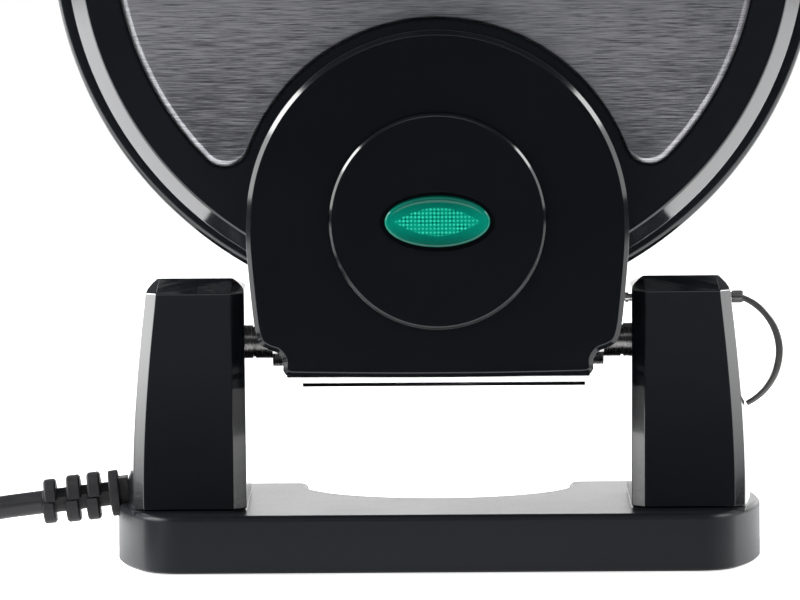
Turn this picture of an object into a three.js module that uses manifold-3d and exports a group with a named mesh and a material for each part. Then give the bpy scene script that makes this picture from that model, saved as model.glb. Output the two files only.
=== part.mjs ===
// A round waffle iron that flips between two towers on a low base, in millimetres, +Z up.
// The origin is on the table under the flip axis, +X to the right and +Y away from the front.
import * as THREE from 'three';
import { mergeVertices } from 'three/addons/utils/BufferGeometryUtils.js';
import Module from 'manifold-3d';

const wasm = await Module();
wasm.setup();

// Clearances and the overrun that all cuts share
const STATIC_GAP = 0.3;
const RUNNING_GAP = 0.1;
const CUT_OVERRUN = 1;
const ROUND_SIDES = 22;
const SMALL_SIDES = 10;
const CURVE_STEPS = 7;
const EDGE_STEPS = 2;

// Widths set outward along the flip axis: the hinge cover, the towers, then the base
const FLIP_AXIS_Z = 65.2;
const ARCH_RADIUS = 56;
const TOWER_CLEAR = 0.8;
const TOWER_INNER_X_FOOT = ARCH_RADIUS + TOWER_CLEAR;
const TOWER_LEAN = 0.7;
const TOWER_INNER_X_TOP = TOWER_INNER_X_FOOT + TOWER_LEAN;
const TOWER_WIDTH = 36;
const TOWER_OUTER_X_FOOT = TOWER_INNER_X_FOOT + TOWER_WIDTH;
const TOWER_MID_TAPER = 1.5;
const TOWER_OUTER_X_MID = TOWER_OUTER_X_FOOT - TOWER_MID_TAPER;
const TOWER_TAPER = 7.2;
const TOWER_OUTER_X_TOP = TOWER_OUTER_X_FOOT - TOWER_TAPER;
const BASE_MARGIN = 3.2;
const BASE_SIDE_REACH = TOWER_OUTER_X_FOOT + BASE_MARGIN;

// Base
const BASE_DEPTH_NEAR = 45;
const BASE_DEPTH_FAR = 55;
const BASE_SIDE_RADIUS = 105;
const BASE_CORNER_RADIUS = 8;
const BASE_TOP_Z = 17.5;
const BASE_BOTTOM_Z = 2;
const BASE_WALL = 2.5;
const BASE_TOP_EDGE = 2.2;
const CUTOUT_RADIUS = 40;
const CUTOUT_CENTRE_Y = 47;
const CUTOUT_SHOULDER = 4;
const BASE_SIDE_STEPS = 6;
const BOTTOM_PLATE_THICKNESS = 2;
const FOOT_RADIUS = 7;
const FOOT_INSET = 20;
const FOOT_X = BASE_SIDE_REACH - FOOT_INSET;
const FOOT_NEAR_Y = -32;
const FOOT_FAR_Y = 40;
const FOOT_SOLE_SHARE = 0.9;
const FOOT_STUD_RADIUS = 2.5;
const SCREW_RADIUS = 1.6;
const SCREW_HEAD_RADIUS = 3;
const SCREW_HEAD_HEIGHT = 1.4;
const BASE_SCREW_INSET = 36;
const BASE_SCREW_X = BASE_SIDE_REACH - BASE_SCREW_INSET;
const BASE_SCREW_NEAR_Y = -36;
const BASE_SCREW_FAR_Y = 46;

// Heights set upward from the flip axis: shaft, bushing, lock pin, then the towers' tops
const SHAFT_RADIUS = 5;
const BUSHING_WALL = 4;
const BUSHING_RADIUS = SHAFT_RADIUS + BUSHING_WALL;
const LOCK_COLLAR_RADIUS = 3.4;
const LOCK_PIN_RISE = BUSHING_RADIUS + LOCK_COLLAR_RADIUS + RUNNING_GAP * 2;
const LOCK_COLLAR_CLEAR = 1;
const TOWER_WALL = 2.6;
const TOWER_TOP_Z = FLIP_AXIS_Z + LOCK_PIN_RISE + LOCK_COLLAR_RADIUS + LOCK_COLLAR_CLEAR + TOWER_WALL;
const TOWER_CAP = 4.2;
const TOWER_CREASE_Z = TOWER_TOP_Z - TOWER_CAP;

// Towers
const TOWER_SEAT_RISE = 1.5;
const TOWER_HALF_DEPTH_FOOT = 33;
const TOWER_HALF_DEPTH_CREASE = 18;
const TOWER_HALF_DEPTH_TOP = 12;
const TOWER_MID_DROP = 19.2;
const TOWER_MID_Z = FLIP_AXIS_Z - TOWER_MID_DROP;
const TOWER_BULGE = 2.6;
const TOWER_EDGE = 2.8;
const TOWER_TOP_EDGE = 3.4;
const TOWER_BOW_STEPS = 4;
const TOWER_LEVELS = 5;

// Flip shafts and their bushings
const BARREL_INSET = 13;
const BARREL_HALF_LENGTH = ARCH_RADIUS - BARREL_INSET;
const SHAFT_GRIP = 9;
const SHAFT_INNER_X = BARREL_HALF_LENGTH - SHAFT_GRIP;
const SHAFT_END_CLEAR = 10.8;
const SHAFT_OUTER_X = TOWER_OUTER_X_FOOT - SHAFT_END_CLEAR;
const SHAFT_WALL = 2;
const SHAFT_BORE_RADIUS = SHAFT_RADIUS - SHAFT_WALL;
const BUSHING_LENGTH = 11.4;
const BUSHING_FLANGE = 2;
const BUSHING_WEB = 4;

// Lock pin, its ring and its spring
const LOCK_PIN_RADIUS = 1.5;
const BUSHING_FLANGE_RADIUS = LOCK_PIN_RISE - LOCK_PIN_RADIUS - RUNNING_GAP;
const LOCK_PIN_PROUD = 2.7;
const LOCK_PIN_TIP_X = TOWER_INNER_X_FOOT - LOCK_PIN_PROUD;
const LOCK_PIN_GROOVE = 0.4;
const LOCK_PIN_GROOVE_WIDTH = 0.9;
const LOCK_COLLAR_INSET = 9.2;
const LOCK_COLLAR_X = TOWER_INNER_X_FOOT + LOCK_COLLAR_INSET;
const LOCK_COLLAR_WIDTH = 2;
const SPRING_END_CLEAR = 7.1;
const SPRING_WALL = 0.7;
const RING_BAND = 2.4;
const RING_BAND_DEPTH = 4;
const RING_RADIUS = 17.3;
const RING_LIFT = 0.6;
const RING_START_DEGREES = 78;
const RING_END_DEGREES = -63;
const RING_BOSS_RADIUS = 2.7;
const RING_TUCK = 3.1;
const RING_BOSS_X = TOWER_OUTER_X_MID - RING_TUCK;
const RING_BOSS_LENGTH = 4;
const RING_BOSS_END = 1.2;

// Round halves, sizes outward from the mid-plane and from the disc's centre: the rim sets the radii
const MID_GAP = 0.35;
const HOUSING_WALL = 2.6;
const RIM_RADIUS = 113.8;
const RIM_DEPTH = 9;
const RIM_STEP = 4.8;
const DRUM_RADIUS = RIM_RADIUS - RIM_STEP;
const SHOULDER_STEP = 5.6;
const SHOULDER_RADIUS = DRUM_RADIUS - SHOULDER_STEP;
const BARREL_RADIUS = 8;
const RIM_BARREL_CLEAR = 0.4;
const DISC_RISE = RIM_RADIUS + BARREL_RADIUS + RIM_BARREL_CLEAR;

// Cooking plate, element, shield and thermostat, stacked outward inside the housing
const GRID_CLEAR = 1;
const GRID_RADIUS = RIM_RADIUS - HOUSING_WALL - GRID_CLEAR;
const GRID_FLANGE_REACH = 14.2;
const GRID_WALL_RADIUS = GRID_RADIUS - GRID_FLANGE_REACH;
const GRID_DEPTH = 16;
const GRID_FLOOR = 4;
const GRID_FLANGE = 3;
const GRID_PITCH = 26;
const POST_WIDTH = 13;
const POST_TOP_SHARE = 0.78;
const POST_TOP_DEPTH = 4;
const POST_COUNT_PER_SIDE = 3;
const CROSS_RIB_WIDTH = 4.5;
const CROSS_RIB_TOP = 1;
const PLATE_BACK = GRID_DEPTH + GRID_FLOOR + STATIC_GAP;
const ELEMENT_RADIUS = 66;
const ELEMENT_TUBE = 3.2;
const ELEMENT_OPEN_SHARE = 0.06;
const ELEMENT_STEPS = 24;
const ELEMENT_SIDES = 6;
const SHIELD_CLEAR = 0.9;
const SHIELD_INSET = 4;
const SHIELD_RADIUS = GRID_WALL_RADIUS - SHIELD_INSET;
const SHIELD_THICKNESS = 1;
const SHIELD_LIP = 2.5;
const SHIELD_LOW = PLATE_BACK + ELEMENT_TUBE * 2 + SHIELD_CLEAR;
const SHIELD_HIGH = SHIELD_LOW + SHIELD_THICKNESS + SHIELD_LIP;
const SHIELD_HOLE_RADIUS = 15;
const THERMOSTAT_RADIUS = 11;
const THERMOSTAT_TERMINAL = 3;
const THERMOSTAT_CLEAR = 0.6;

// Outside of the halves, outward from the shield
const HOUSING_FLOOR = SHIELD_HIGH + STATIC_GAP;
const RECESS_DEPTH = HOUSING_FLOOR + HOUSING_WALL;
const RECESS_STEP = 2;
const FACE_DEPTH = RECESS_DEPTH + RECESS_STEP;
const DRUM_STEP = 10.5;
const DRUM_DEPTH = FACE_DEPTH - DRUM_STEP;
const SHOULDER_OUT_SHARE = 0.35;
const SHOULDER_UP_SHARE = 0.55;
const STEEL_INSET = 9.1;
const STEEL_RADIUS = SHOULDER_RADIUS - STEEL_INSET;
const STEEL_LEDGE = 10.3;
const STEEL_BEVEL = 1.3;
const STEEL_THICKNESS = 1.5;
const STEEL_CORNER_RADIUS = 7.5;
const STEEL_ARCH_GAP = 3;
const STEEL_STEPS = 8;
const DISC_SIDES = 40;
const HOLLOW_SIDES = 32;

// Hinge cover with its round boss and lamp lens
const ARCH_RISE = 38.4;
const LAMP_RADIUS = 1.7;
const LAMP_CLEAR = 1.1;
const LENS_DEPTH = 3;
const COVER_DEPTH = FACE_DEPTH + LAMP_RADIUS * 2 + LAMP_CLEAR + LENS_DEPTH;
const COVER_EDGE = 1.6;
const COVER_WALL = 2.2;
const COVER_FACE_BOTTOM_DROP = 7;
const COVER_BARREL_RADIUS = 13;
const COVER_NECK_RISE_SHARE = 0.12;
const COVER_NECK_WIDTH_SHARE = 0.93;
const COVER_RISE_SHARES = [0.807, 0.487, 0.221, COVER_NECK_RISE_SHARE, 0.044, 0.013, -0.044, -0.128];
const COVER_WIDTH_SHARES = [1, 0.971, 0.946, COVER_NECK_WIDTH_SHARE, 0.896, 0.85, 0.8125, 0.793];
const BELLY_DEPTH_SHARES = [1, 0.7, 0.4, 0.18];
const BELLY_DROP_SHARES = [0.05, 0.3, 0.68, 0.94];
const COVER_LID_RELIEF_RADIUS = 19.5;
const COVER_STEPS = 9;
const BUTTON_RADIUS = 31.8;
const BUTTON_FLAT_RADIUS = 30.2;
const BUTTON_PROUD = 1.5;
const BUTTON_TOP = COVER_DEPTH + BUTTON_PROUD;
const LENS_HALF_WIDTH = 16.7;
const LENS_HALF_HEIGHT = 8.7;
const LENS_GROOVE = 0.9;
const LENS_PROUD = 0.9;
const LENS_TOP = BUTTON_TOP + LENS_PROUD;
const LENS_SHOULDER_SHARE = 0.86;
const LENS_STEPS = 22;
const LAMP_LENGTH = 12;
const LAMP_PEG_SHARE = 0.9;

// Brackets and knuckles of the lid hinge
const BRACKET_INSET = 9;
const BRACKET_HALF_WIDTH = BARREL_HALF_LENGTH - BRACKET_INSET;
const BRACKET_THICKNESS = 2.4;
const BRACKET_SHELF_CLEAR = 1;
const KNUCKLE_RADIUS = 7.4;
const KNUCKLE_CLEAR = 1.6;
const KNUCKLE_INNER_X = BARREL_HALF_LENGTH + KNUCKLE_CLEAR;
const KNUCKLE_OUTER_CLEAR = 0.28;
const KNUCKLE_OUTER_X = ARCH_RADIUS * COVER_NECK_WIDTH_SHARE - COVER_WALL - KNUCKLE_OUTER_CLEAR;
const ARM_RISE = 9;
const ARM_WIDTH = 9;
const ARM_ROOT_SHARE = 0.9;
const BRACKET_TOP_RISE = 22.6;
const BRACKET_SCREW_LENGTH = 6;
const BRACKET_SCREW_X = 24;
const BRACKET_SCREW_RISE = 15;

// Handles, rest feet and latch
const HANDLE_REACH = 78;
const HANDLE_HALF_WIDTH = 34;
const HANDLE_TIP_HALF_WIDTH = 28;
const HANDLE_THICKNESS = 17;
const HANDLE_EDGE = 4;
const HANDLE_CORNER = 14;
const HANDLE_NECK_DEPTH = 1;
const FOOT_BLOCK_HALF_WIDTH = 24;
const FOOT_BLOCK_THICKNESS = 12;
const FOOT_BLOCK_INSET = 15.3;
const FOOT_TABLE_GAP = 0.3;
const FOOT_EDGE = 3;
const LATCH_HALF_WIDTH = 9;
const LATCH_THICKNESS = 3;
const LATCH_PIVOT_RADIUS = 2;
const LATCH_PIN_GRIP = 4.8;
const LATCH_PIVOT_DEPTH = 11;
const LATCH_PIVOT_DROP = 5.1;
const LATCH_HOOK = 3.4;
const LATCH_SLOT_CLEAR = 0.8;
const LATCH_OPEN_DEGREES = 80;
const LATCH_LIP_DEPTH = 11;

// Mains lead, strain relief and plug
const CORD_RADIUS = 3.5;
const CORD_SIDES = 10;
const RELIEF_RISE = 1.4;
const RELIEF_Z = BASE_TOP_Z + TOWER_SEAT_RISE + RELIEF_RISE;
const RELIEF_Y = 2;
const RELIEF_FLANGE_RADIUS = 7;
const RELIEF_FLANGE = 1.8;
const RELIEF_LENGTH = 25.6;
const RELIEF_RIBS = 4;
const RELIEF_RIB_WIDTH = 4.4;
const RELIEF_TAPER_SHARE = 0.9;
const RELIEF_CORE_RADIUS = 4.4;
const RELIEF_NECK_LENGTH = 6;
const RELIEF_HOLE_GAP = 1.2;
const RELIEF_WEB = 1.6;
const RELIEF_WEB_SHARE = 1.35;
const RELIEF_DROOP = 3.1;
const CLAMP_INSET = 14.8;
const CLAMP_X = TOWER_OUTER_X_FOOT - CLAMP_INSET;
const CLAMP_WIDTH = 9;
const CLAMP_LENGTH = 14;
const CLAMP_HEIGHT = 4;
const TERMINAL_Y = -24;
const TERMINAL_LENGTH = 30;
const TERMINAL_DEPTH = 14;
const TERMINAL_CLEAR = 0.7;
const PLUG_RADIUS = 18.5;
const PLUG_LENGTH = 27;
const PLUG_NECK_RADIUS = 6.4;
const PLUG_NECK_LENGTH = 22;
const PLUG_PIN_RADIUS = 2.4;
const PLUG_PIN_LENGTH = 19;
const PLUG_PIN_HALF_SPACING = 9.5;
const PLUG_NECK_SHARE = 0.66;
const PLUG_REAR_SHARE = 0.8;
const PLUG_EDGE = 2;
const PLUG_TILT_DEGREES = 14.6;
const COIL_X = -196;
const COIL_Y = -32;
const COIL_LAYERS = 2;
const COIL_TURNS_PER_LAYER = 1.5;
const COIL_MID_RADIUS = 38;
const COIL_PITCH = 7.6;
const COIL_LAYER_PITCH = 7.7;
const COIL_STEPS = 24;
const COIL_SIDES = 6;
const TABLE_CLEAR = 0.2;
const CORD_STEP_RADII = 4;
const CORD_ROUTE = [
  [-118.6, 2, 17.3], [-121.5, 2, 16.95], [-124.5, 2, 16.58], [-127.5, 2, 16.2], [-130.5, 2, 15.8],
  [-134, 2.1, 15.15], [-138, 2.3, 14], [-142, 2.7, 12.4], [-146, 3.2, 10.5], [-150, 3.9, 8.6],
  [-154, 4.7, 6.9], [-158, 5.6, 5.5], [-163, 6.9, 4.35], [-168, 8.2, 3.8], [-174, 9.7, 3.7],
  [-180, 10.9, 3.7], [-185, 11.5, 3.7], [-188.7, 11.7, 3.7],
];

// Colours and finishes
const gloss = (name, color, roughness, metalness) => new THREE.MeshStandardMaterial({
  name, color, roughness, metalness });
const BLACK = gloss('gloss_black', 0x101013, 0.16, 0);
const BASE_BLACK = gloss('satin_black', 0x24262a, 0.34, 0);
const STEEL = gloss('brushed_steel', 0x77777a, 0.34, 1);
const BRIGHT = gloss('bright_steel', 0x9a9a9e, 0.25, 1);
const ALUMINIUM = gloss('cast_aluminium', 0x2b2a2c, 0.5, 0.3);
const GREEN = gloss('green_lens', 0x0a8f68, 0.12, 0);
const RED = gloss('red_lens', 0xa01a14, 0.12, 0);
const GLASS = gloss('lamp_glass', 0xd8d2c0, 0.1, 0);
const RUBBER = gloss('black_rubber', 0x161617, 0.7, 0);
const CORD = gloss('cord_jacket', 0x1c1c1d, 0.5, 0);
const BRASS = gloss('nickel_brass', 0xb8b2a2, 0.3, 1);
const PLASTIC = gloss('white_nylon', 0xd9d6cc, 0.5, 0);

const part = new THREE.Group();
part.name = 'flip_waffle_maker';

// Solids and booleans
function toSolid(geometry) {
  const bare = geometry.clone();
  bare.deleteAttribute('normal');
  bare.deleteAttribute('uv');
  const merged = mergeVertices(bare, 1e-4);
  return new wasm.Manifold(new wasm.Mesh({
    numProp: 3,
    vertProperties: new Float32Array(merged.attributes.position.array),
    triVerts: new Uint32Array(merged.index.array),
  }));
}

function toGeometry(solid) {
  const mesh = solid.getMesh();
  const geometry = new THREE.BufferGeometry();
  geometry.setAttribute('position', new THREE.BufferAttribute(mesh.vertProperties, mesh.numProp));
  geometry.setIndex(new THREE.BufferAttribute(mesh.triVerts, 1));
  geometry.computeVertexNormals();
  return geometry;
}

function cut(body, ...tools) {
  return toGeometry(tools.reduce((solid, tool) => solid.subtract(toSolid(tool)), toSolid(body)));
}

function join(...bodies) {
  return toGeometry(bodies.slice(1).reduce((solid, body) => solid.add(toSolid(body)), toSolid(bodies[0])));
}

function common(body, tool) {
  return toGeometry(toSolid(body).intersect(toSolid(tool)));
}

const lerp = (a, b, share) => a + (b - a) * share;

// Hangs a named mesh in a group
function add(group, name, geometry, material) {
  const mesh = new THREE.Mesh(geometry, material);
  mesh.name = name;
  group.add(mesh);
  return mesh;
}

// Primitive shapes placed by their extents
function box(lowX, highX, lowY, highY, lowZ, highZ) {
  const shape = new THREE.BoxGeometry(highX - lowX, highY - lowY, highZ - lowZ);
  return shape.translate((lowX + highX) / 2, (lowY + highY) / 2, (lowZ + highZ) / 2);
}

function rodX(lowX, highX, y, z, radius, sides = ROUND_SIDES) {
  const shape = new THREE.CylinderGeometry(radius, radius, highX - lowX, sides);
  return shape.rotateZ(-Math.PI / 2).translate((lowX + highX) / 2, y, z);
}

function rodY(x, lowY, highY, z, radius, sides = ROUND_SIDES) {
  return new THREE.CylinderGeometry(radius, radius, highY - lowY, sides).translate(x, (lowY + highY) / 2, z);
}

function rodZ(x, y, lowZ, highZ, radius, sides = SMALL_SIDES) {
  const shape = new THREE.CylinderGeometry(radius, radius, highZ - lowZ, sides);
  return shape.rotateX(Math.PI / 2).translate(x, y, (lowZ + highZ) / 2);
}

// A profile of [radius, height] pairs turned about the +Z axis
function turned(profile, sides = DISC_SIDES) {
  const points = profile.map(([radius, height]) => new THREE.Vector2(radius, height));
  return new THREE.LatheGeometry(points, sides).rotateX(Math.PI / 2);
}

// The same about a line along +X, with height along +X
function turnedX(profile, y, z, sides = ROUND_SIDES) {
  const points = profile.map(([radius, height]) => new THREE.Vector2(radius, height));
  return new THREE.LatheGeometry(points, sides).rotateZ(-Math.PI / 2).translate(0, y, z);
}

function outline(points) {
  const shape = new THREE.Shape();
  points.forEach(([x, y], i) => (i ? shape.lineTo(x, y) : shape.moveTo(x, y)));
  shape.closePath();
  return shape;
}

// A plan outline raised along +Z from low to high, with both faces' edges rounded
function raised(shape, low, high, edge = 0, curveSegments = CURVE_STEPS, bevelSegments = EDGE_STEPS) {
  const settings = edge
    ? { depth: high - low - edge * 2, bevelEnabled: true, bevelThickness: edge, bevelSize: edge,
      bevelOffset: -edge, bevelSegments, curveSegments }
    : { depth: high - low, bevelEnabled: false, curveSegments };
  return new THREE.ExtrudeGeometry(shape, settings).translate(0, 0, low + edge);
}

// A front-view outline (x, z) given depth toward -Y from low to high, with both faces' edges rounded
function frontal(shape, low, high, edge = 0, curveSegments = CURVE_STEPS, bevelSegments = EDGE_STEPS) {
  return raised(shape, low, high, edge, curveSegments, bevelSegments).rotateX(Math.PI / 2);
}

// A side-view outline (y, z) given width along +X from low to high
function sideways(points, low, high) {
  return raised(outline(points), low, high).rotateZ(Math.PI / 2).rotateY(Math.PI / 2);
}

// Rings of equally many points skinned in order, with both ends closed
function skinned(rings) {
  const size = rings[0].length;
  const place = rings.flat(2);
  const faces = [];
  for (let k = 0; k + 1 < rings.length; k += 1) {
    for (let i = 0; i < size; i += 1) {
      const j = (i + 1) % size;
      const [a, b, c, d] = [k * size + i, k * size + j, (k + 1) * size + j, (k + 1) * size + i];
      faces.push(a, b, c, a, c, d);
    }
  }
  const last = (rings.length - 1) * size;
  for (let i = 1; i + 1 < size; i += 1) {
    faces.push(0, i + 1, i, last, last + i, last + i + 1);
  }
  const geometry = new THREE.BufferGeometry();
  geometry.setAttribute('position', new THREE.Float32BufferAttribute(place, 3));
  geometry.setIndex(faces);
  geometry.computeVertexNormals();
  return geometry;
}

// Base

const baseMiddleY = (BASE_DEPTH_FAR - BASE_DEPTH_NEAR) / 2;
const baseHalfDepth = (BASE_DEPTH_FAR + BASE_DEPTH_NEAR) / 2;

// Plan of the base, drawn in by inset: straight front and back, bowed sides, and the round cut-out
function basePlan(inset) {
  const sideRadius = BASE_SIDE_RADIUS - inset;
  const halfDepth = baseHalfDepth - inset;
  const centreX = BASE_SIDE_REACH - BASE_SIDE_RADIUS;
  const sideX = (dy) => centreX + Math.sqrt(sideRadius ** 2 - dy ** 2);
  const corner = BASE_CORNER_RADIUS;
  const shape = new THREE.Shape();
  const side = [];
  for (let i = 0; i <= BASE_SIDE_STEPS; i += 1) {
    side.push((halfDepth - corner) * ((2 * i) / BASE_SIDE_STEPS - 1));
  }
  const front = baseMiddleY - halfDepth;
  const back = baseMiddleY + halfDepth;
  shape.moveTo(-sideX(halfDepth) + corner, front);
  shape.lineTo(sideX(halfDepth) - corner, front);
  shape.quadraticCurveTo(sideX(halfDepth), front, sideX(side[0]), baseMiddleY + side[0]);
  side.forEach((dy) => shape.lineTo(sideX(dy), baseMiddleY + dy));
  shape.quadraticCurveTo(sideX(halfDepth), back, sideX(halfDepth) - corner, back);
  const notch = CUTOUT_RADIUS + inset;
  const shoulder = CUTOUT_SHOULDER;
  const rise = back - CUTOUT_CENTRE_Y;
  const reach = Math.sqrt(Math.max(notch ** 2 - (rise - shoulder) ** 2, 0));
  const start = Math.atan2(rise - shoulder, reach);
  shape.lineTo(reach + shoulder, back);
  shape.quadraticCurveTo(reach, back, reach, back - shoulder);
  shape.absarc(0, CUTOUT_CENTRE_Y, notch, start, -Math.PI - start, true);
  shape.quadraticCurveTo(-reach, back, -reach - shoulder, back);
  shape.lineTo(-sideX(halfDepth) + corner, back);
  shape.quadraticCurveTo(-sideX(halfDepth), back, -sideX(-side[0]), baseMiddleY - side[0]);
  [...side].reverse().forEach((dy) => shape.lineTo(-sideX(dy), baseMiddleY + dy));
  shape.quadraticCurveTo(-sideX(halfDepth), front, -sideX(halfDepth) + corner, front);
  return shape;
}

const towerFootZ = BASE_TOP_Z + TOWER_SEAT_RISE;
const footPlaces = [-1, 1].flatMap((side) => [[side * FOOT_X, FOOT_NEAR_Y], [side * FOOT_X, FOOT_FAR_Y]]);
const screwPlaces = [-1, 1].flatMap((side) => (
  [[side * BASE_SCREW_X, BASE_SCREW_NEAR_Y], [side * BASE_SCREW_X, BASE_SCREW_FAR_Y]]));

// Plan of a tower at one height: chamfered upright edges and an outer side that bows outward
function towerRing(z, inner, outer, half, edge) {
  const edgeX = outer - TOWER_BULGE;
  const points = [[inner, -half + edge], [inner + edge, -half], [edgeX - edge, -half]];
  for (let i = 0; i <= TOWER_BOW_STEPS; i += 1) {
    const y = (half - edge) * ((2 * i) / TOWER_BOW_STEPS - 1);
    points.push([edgeX + TOWER_BULGE * (1 - (y / (half - edge)) ** 2), y]);
  }
  points.push([edgeX - edge, half], [inner + edge, half], [inner, half - edge]);
  return points.map(([x, y]) => [x, y, z]);
}

// Inner face of a tower at a height
function towerInnerX(z) {
  return lerp(TOWER_INNER_X_FOOT, TOWER_INNER_X_TOP, (z - towerFootZ) / (TOWER_CREASE_Z - towerFootZ));
}

// Outer face of a tower at a height: an arc-like curve through the foot, middle and crease widths
function towerOuterX(z) {
  const share = (z - towerFootZ) / (TOWER_CREASE_Z - towerFootZ);
  const middle = (TOWER_MID_Z - towerFootZ) / (TOWER_CREASE_Z - towerFootZ);
  const drop = TOWER_OUTER_X_FOOT - TOWER_OUTER_X_TOP;
  const power = Math.log((TOWER_OUTER_X_FOOT - TOWER_OUTER_X_MID) / drop) / Math.log(middle);
  return TOWER_OUTER_X_FOOT - drop * share ** power;
}

// The right tower's outside, or its inside when drawn in by a wall
function towerBody(inset) {
  const rings = [];
  const crease = TOWER_CREASE_Z - inset;
  const foot = inset ? towerFootZ - CUT_OVERRUN : towerFootZ + STATIC_GAP;
  const edge = Math.max(TOWER_EDGE - inset, TOWER_EDGE / 4);
  for (let i = 0; i <= TOWER_LEVELS; i += 1) {
    const z = lerp(foot, crease, i / TOWER_LEVELS);
    const along = Math.max((z - towerFootZ) / (TOWER_CREASE_Z - towerFootZ), 0);
    const half = lerp(TOWER_HALF_DEPTH_FOOT, TOWER_HALF_DEPTH_CREASE, along) - inset;
    const outer = towerOuterX(Math.max(z, towerFootZ)) - inset;
    rings.push(towerRing(z, towerInnerX(z) + inset, outer, half, edge));
  }
  const topRise = TOWER_TOP_Z - TOWER_CREASE_Z;
  [1 / 2, 1].forEach((share) => {
    const half = lerp(TOWER_HALF_DEPTH_CREASE, TOWER_HALF_DEPTH_TOP, share) - inset;
    const inner = TOWER_INNER_X_TOP + inset + TOWER_TOP_EDGE * share ** 2;
    const outer = TOWER_OUTER_X_TOP - inset - TOWER_TOP_EDGE * share;
    rings.push(towerRing(crease + topRise * share, inner, outer, half, edge));
  });
  return skinned(rings);
}

function mirroredX(geometry) {
  const turnedRound = geometry.clone().applyMatrix4(new THREE.Matrix4().makeScale(-1, 1, 1));
  const index = turnedRound.index.array;
  for (let i = 0; i < index.length; i += 3) {
    [index[i], index[i + 2]] = [index[i + 2], index[i]];
  }
  return turnedRound;
}

const towerPad = () => skinned([BASE_TOP_Z - CUT_OVERRUN, towerFootZ].map((z) => (
  towerRing(z, TOWER_INNER_X_FOOT, TOWER_OUTER_X_FOOT, TOWER_HALF_DEPTH_FOOT, TOWER_EDGE))));

// The lead's way through the left wall: a hole for the neck, and in the base also a notch for the flange
const reliefHole = () => rodX(-BASE_SIDE_REACH - CUT_OVERRUN, -TOWER_OUTER_X_FOOT + RELIEF_NECK_LENGTH
  + CUT_OVERRUN / 2, RELIEF_Y, RELIEF_Z, RELIEF_CORE_RADIUS + RELIEF_HOLE_GAP, SMALL_SIDES);
const reliefNotch = () => rodX(-BASE_SIDE_REACH - CUT_OVERRUN, -TOWER_OUTER_X_FOOT + RELIEF_FLANGE,
  RELIEF_Y, RELIEF_Z, RELIEF_FLANGE_RADIUS + STATIC_GAP * 2, SMALL_SIDES);

const plateTopZ = BASE_BOTTOM_Z + BOTTOM_PLATE_THICKNESS;
const bossBottomZ = plateTopZ + STATIC_GAP;
const innerTopZ = BASE_TOP_Z - BASE_WALL;
let baseShell = cut(raised(basePlan(0), BASE_BOTTOM_Z, BASE_TOP_Z, BASE_TOP_EDGE, CURVE_STEPS, 1),
  raised(basePlan(BASE_WALL), BASE_BOTTOM_Z - CUT_OVERRUN, innerTopZ));
const bossRadius = SCREW_HEAD_RADIUS + BASE_WALL / 2;
baseShell = join(baseShell, towerPad(), mirroredX(towerPad()),
  ...screwPlaces.map(([x, y]) => rodZ(x, y, bossBottomZ, innerTopZ + BASE_WALL / 2, bossRadius)));
const screwTopZ = BASE_TOP_Z - BASE_WALL * 2;
baseShell = cut(baseShell, reliefHole(), reliefNotch(),
  ...screwPlaces.map(([x, y]) => rodZ(x, y, BASE_BOTTOM_Z, screwTopZ + STATIC_GAP,
    SCREW_RADIUS + STATIC_GAP)));
const wiringHalf = BUSHING_RADIUS;
const wiringX = (TOWER_INNER_X_FOOT + TOWER_OUTER_X_FOOT) / 2;
baseShell = cut(baseShell, ...[-1, 1].map((side) => rodZ(side * wiringX, 0, innerTopZ - CUT_OVERRUN,
  towerFootZ + CUT_OVERRUN, wiringHalf)));
add(part, 'base_shell', baseShell, BASE_BLACK);

const plateInset = BASE_WALL + STATIC_GAP;
const bottomPlate = cut(raised(basePlan(plateInset), BASE_BOTTOM_Z, plateTopZ),
  ...screwPlaces.map(([x, y]) => rodZ(x, y, BASE_BOTTOM_Z - CUT_OVERRUN, plateTopZ + CUT_OVERRUN,
    SCREW_RADIUS + STATIC_GAP)),
  ...footPlaces.map(([x, y]) => rodZ(x, y, BASE_BOTTOM_Z - CUT_OVERRUN, plateTopZ + CUT_OVERRUN,
    FOOT_STUD_RADIUS + STATIC_GAP)));
add(part, 'base_bottom_plate', bottomPlate, BASE_BLACK);

footPlaces.forEach(([x, y], i) => {
  const name = `rubber_foot_${i + 1}`;
  const pad = BASE_BOTTOM_Z - STATIC_GAP;
  const profile = [[0, 0], [FOOT_RADIUS * FOOT_SOLE_SHARE, 0], [FOOT_RADIUS, pad / 2], [FOOT_RADIUS, pad],
    [FOOT_STUD_RADIUS, pad], [FOOT_STUD_RADIUS, plateTopZ], [0, plateTopZ]];
  add(part, name, turned(profile, SMALL_SIDES).translate(x, y, 0), RUBBER);
});

screwPlaces.forEach(([x, y], i) => {
  const low = BASE_BOTTOM_Z - STATIC_GAP - SCREW_HEAD_HEIGHT;
  const profile = [[0, 0], [SCREW_HEAD_RADIUS, 0], [SCREW_HEAD_RADIUS, SCREW_HEAD_HEIGHT],
    [SCREW_RADIUS, SCREW_HEAD_HEIGHT], [SCREW_RADIUS, screwTopZ - low], [0, screwTopZ - low]];
  add(part, `base_screw_${i + 1}`, turned(profile, SMALL_SIDES).translate(x, y, low), BRIGHT);
});

// Towers

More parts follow.
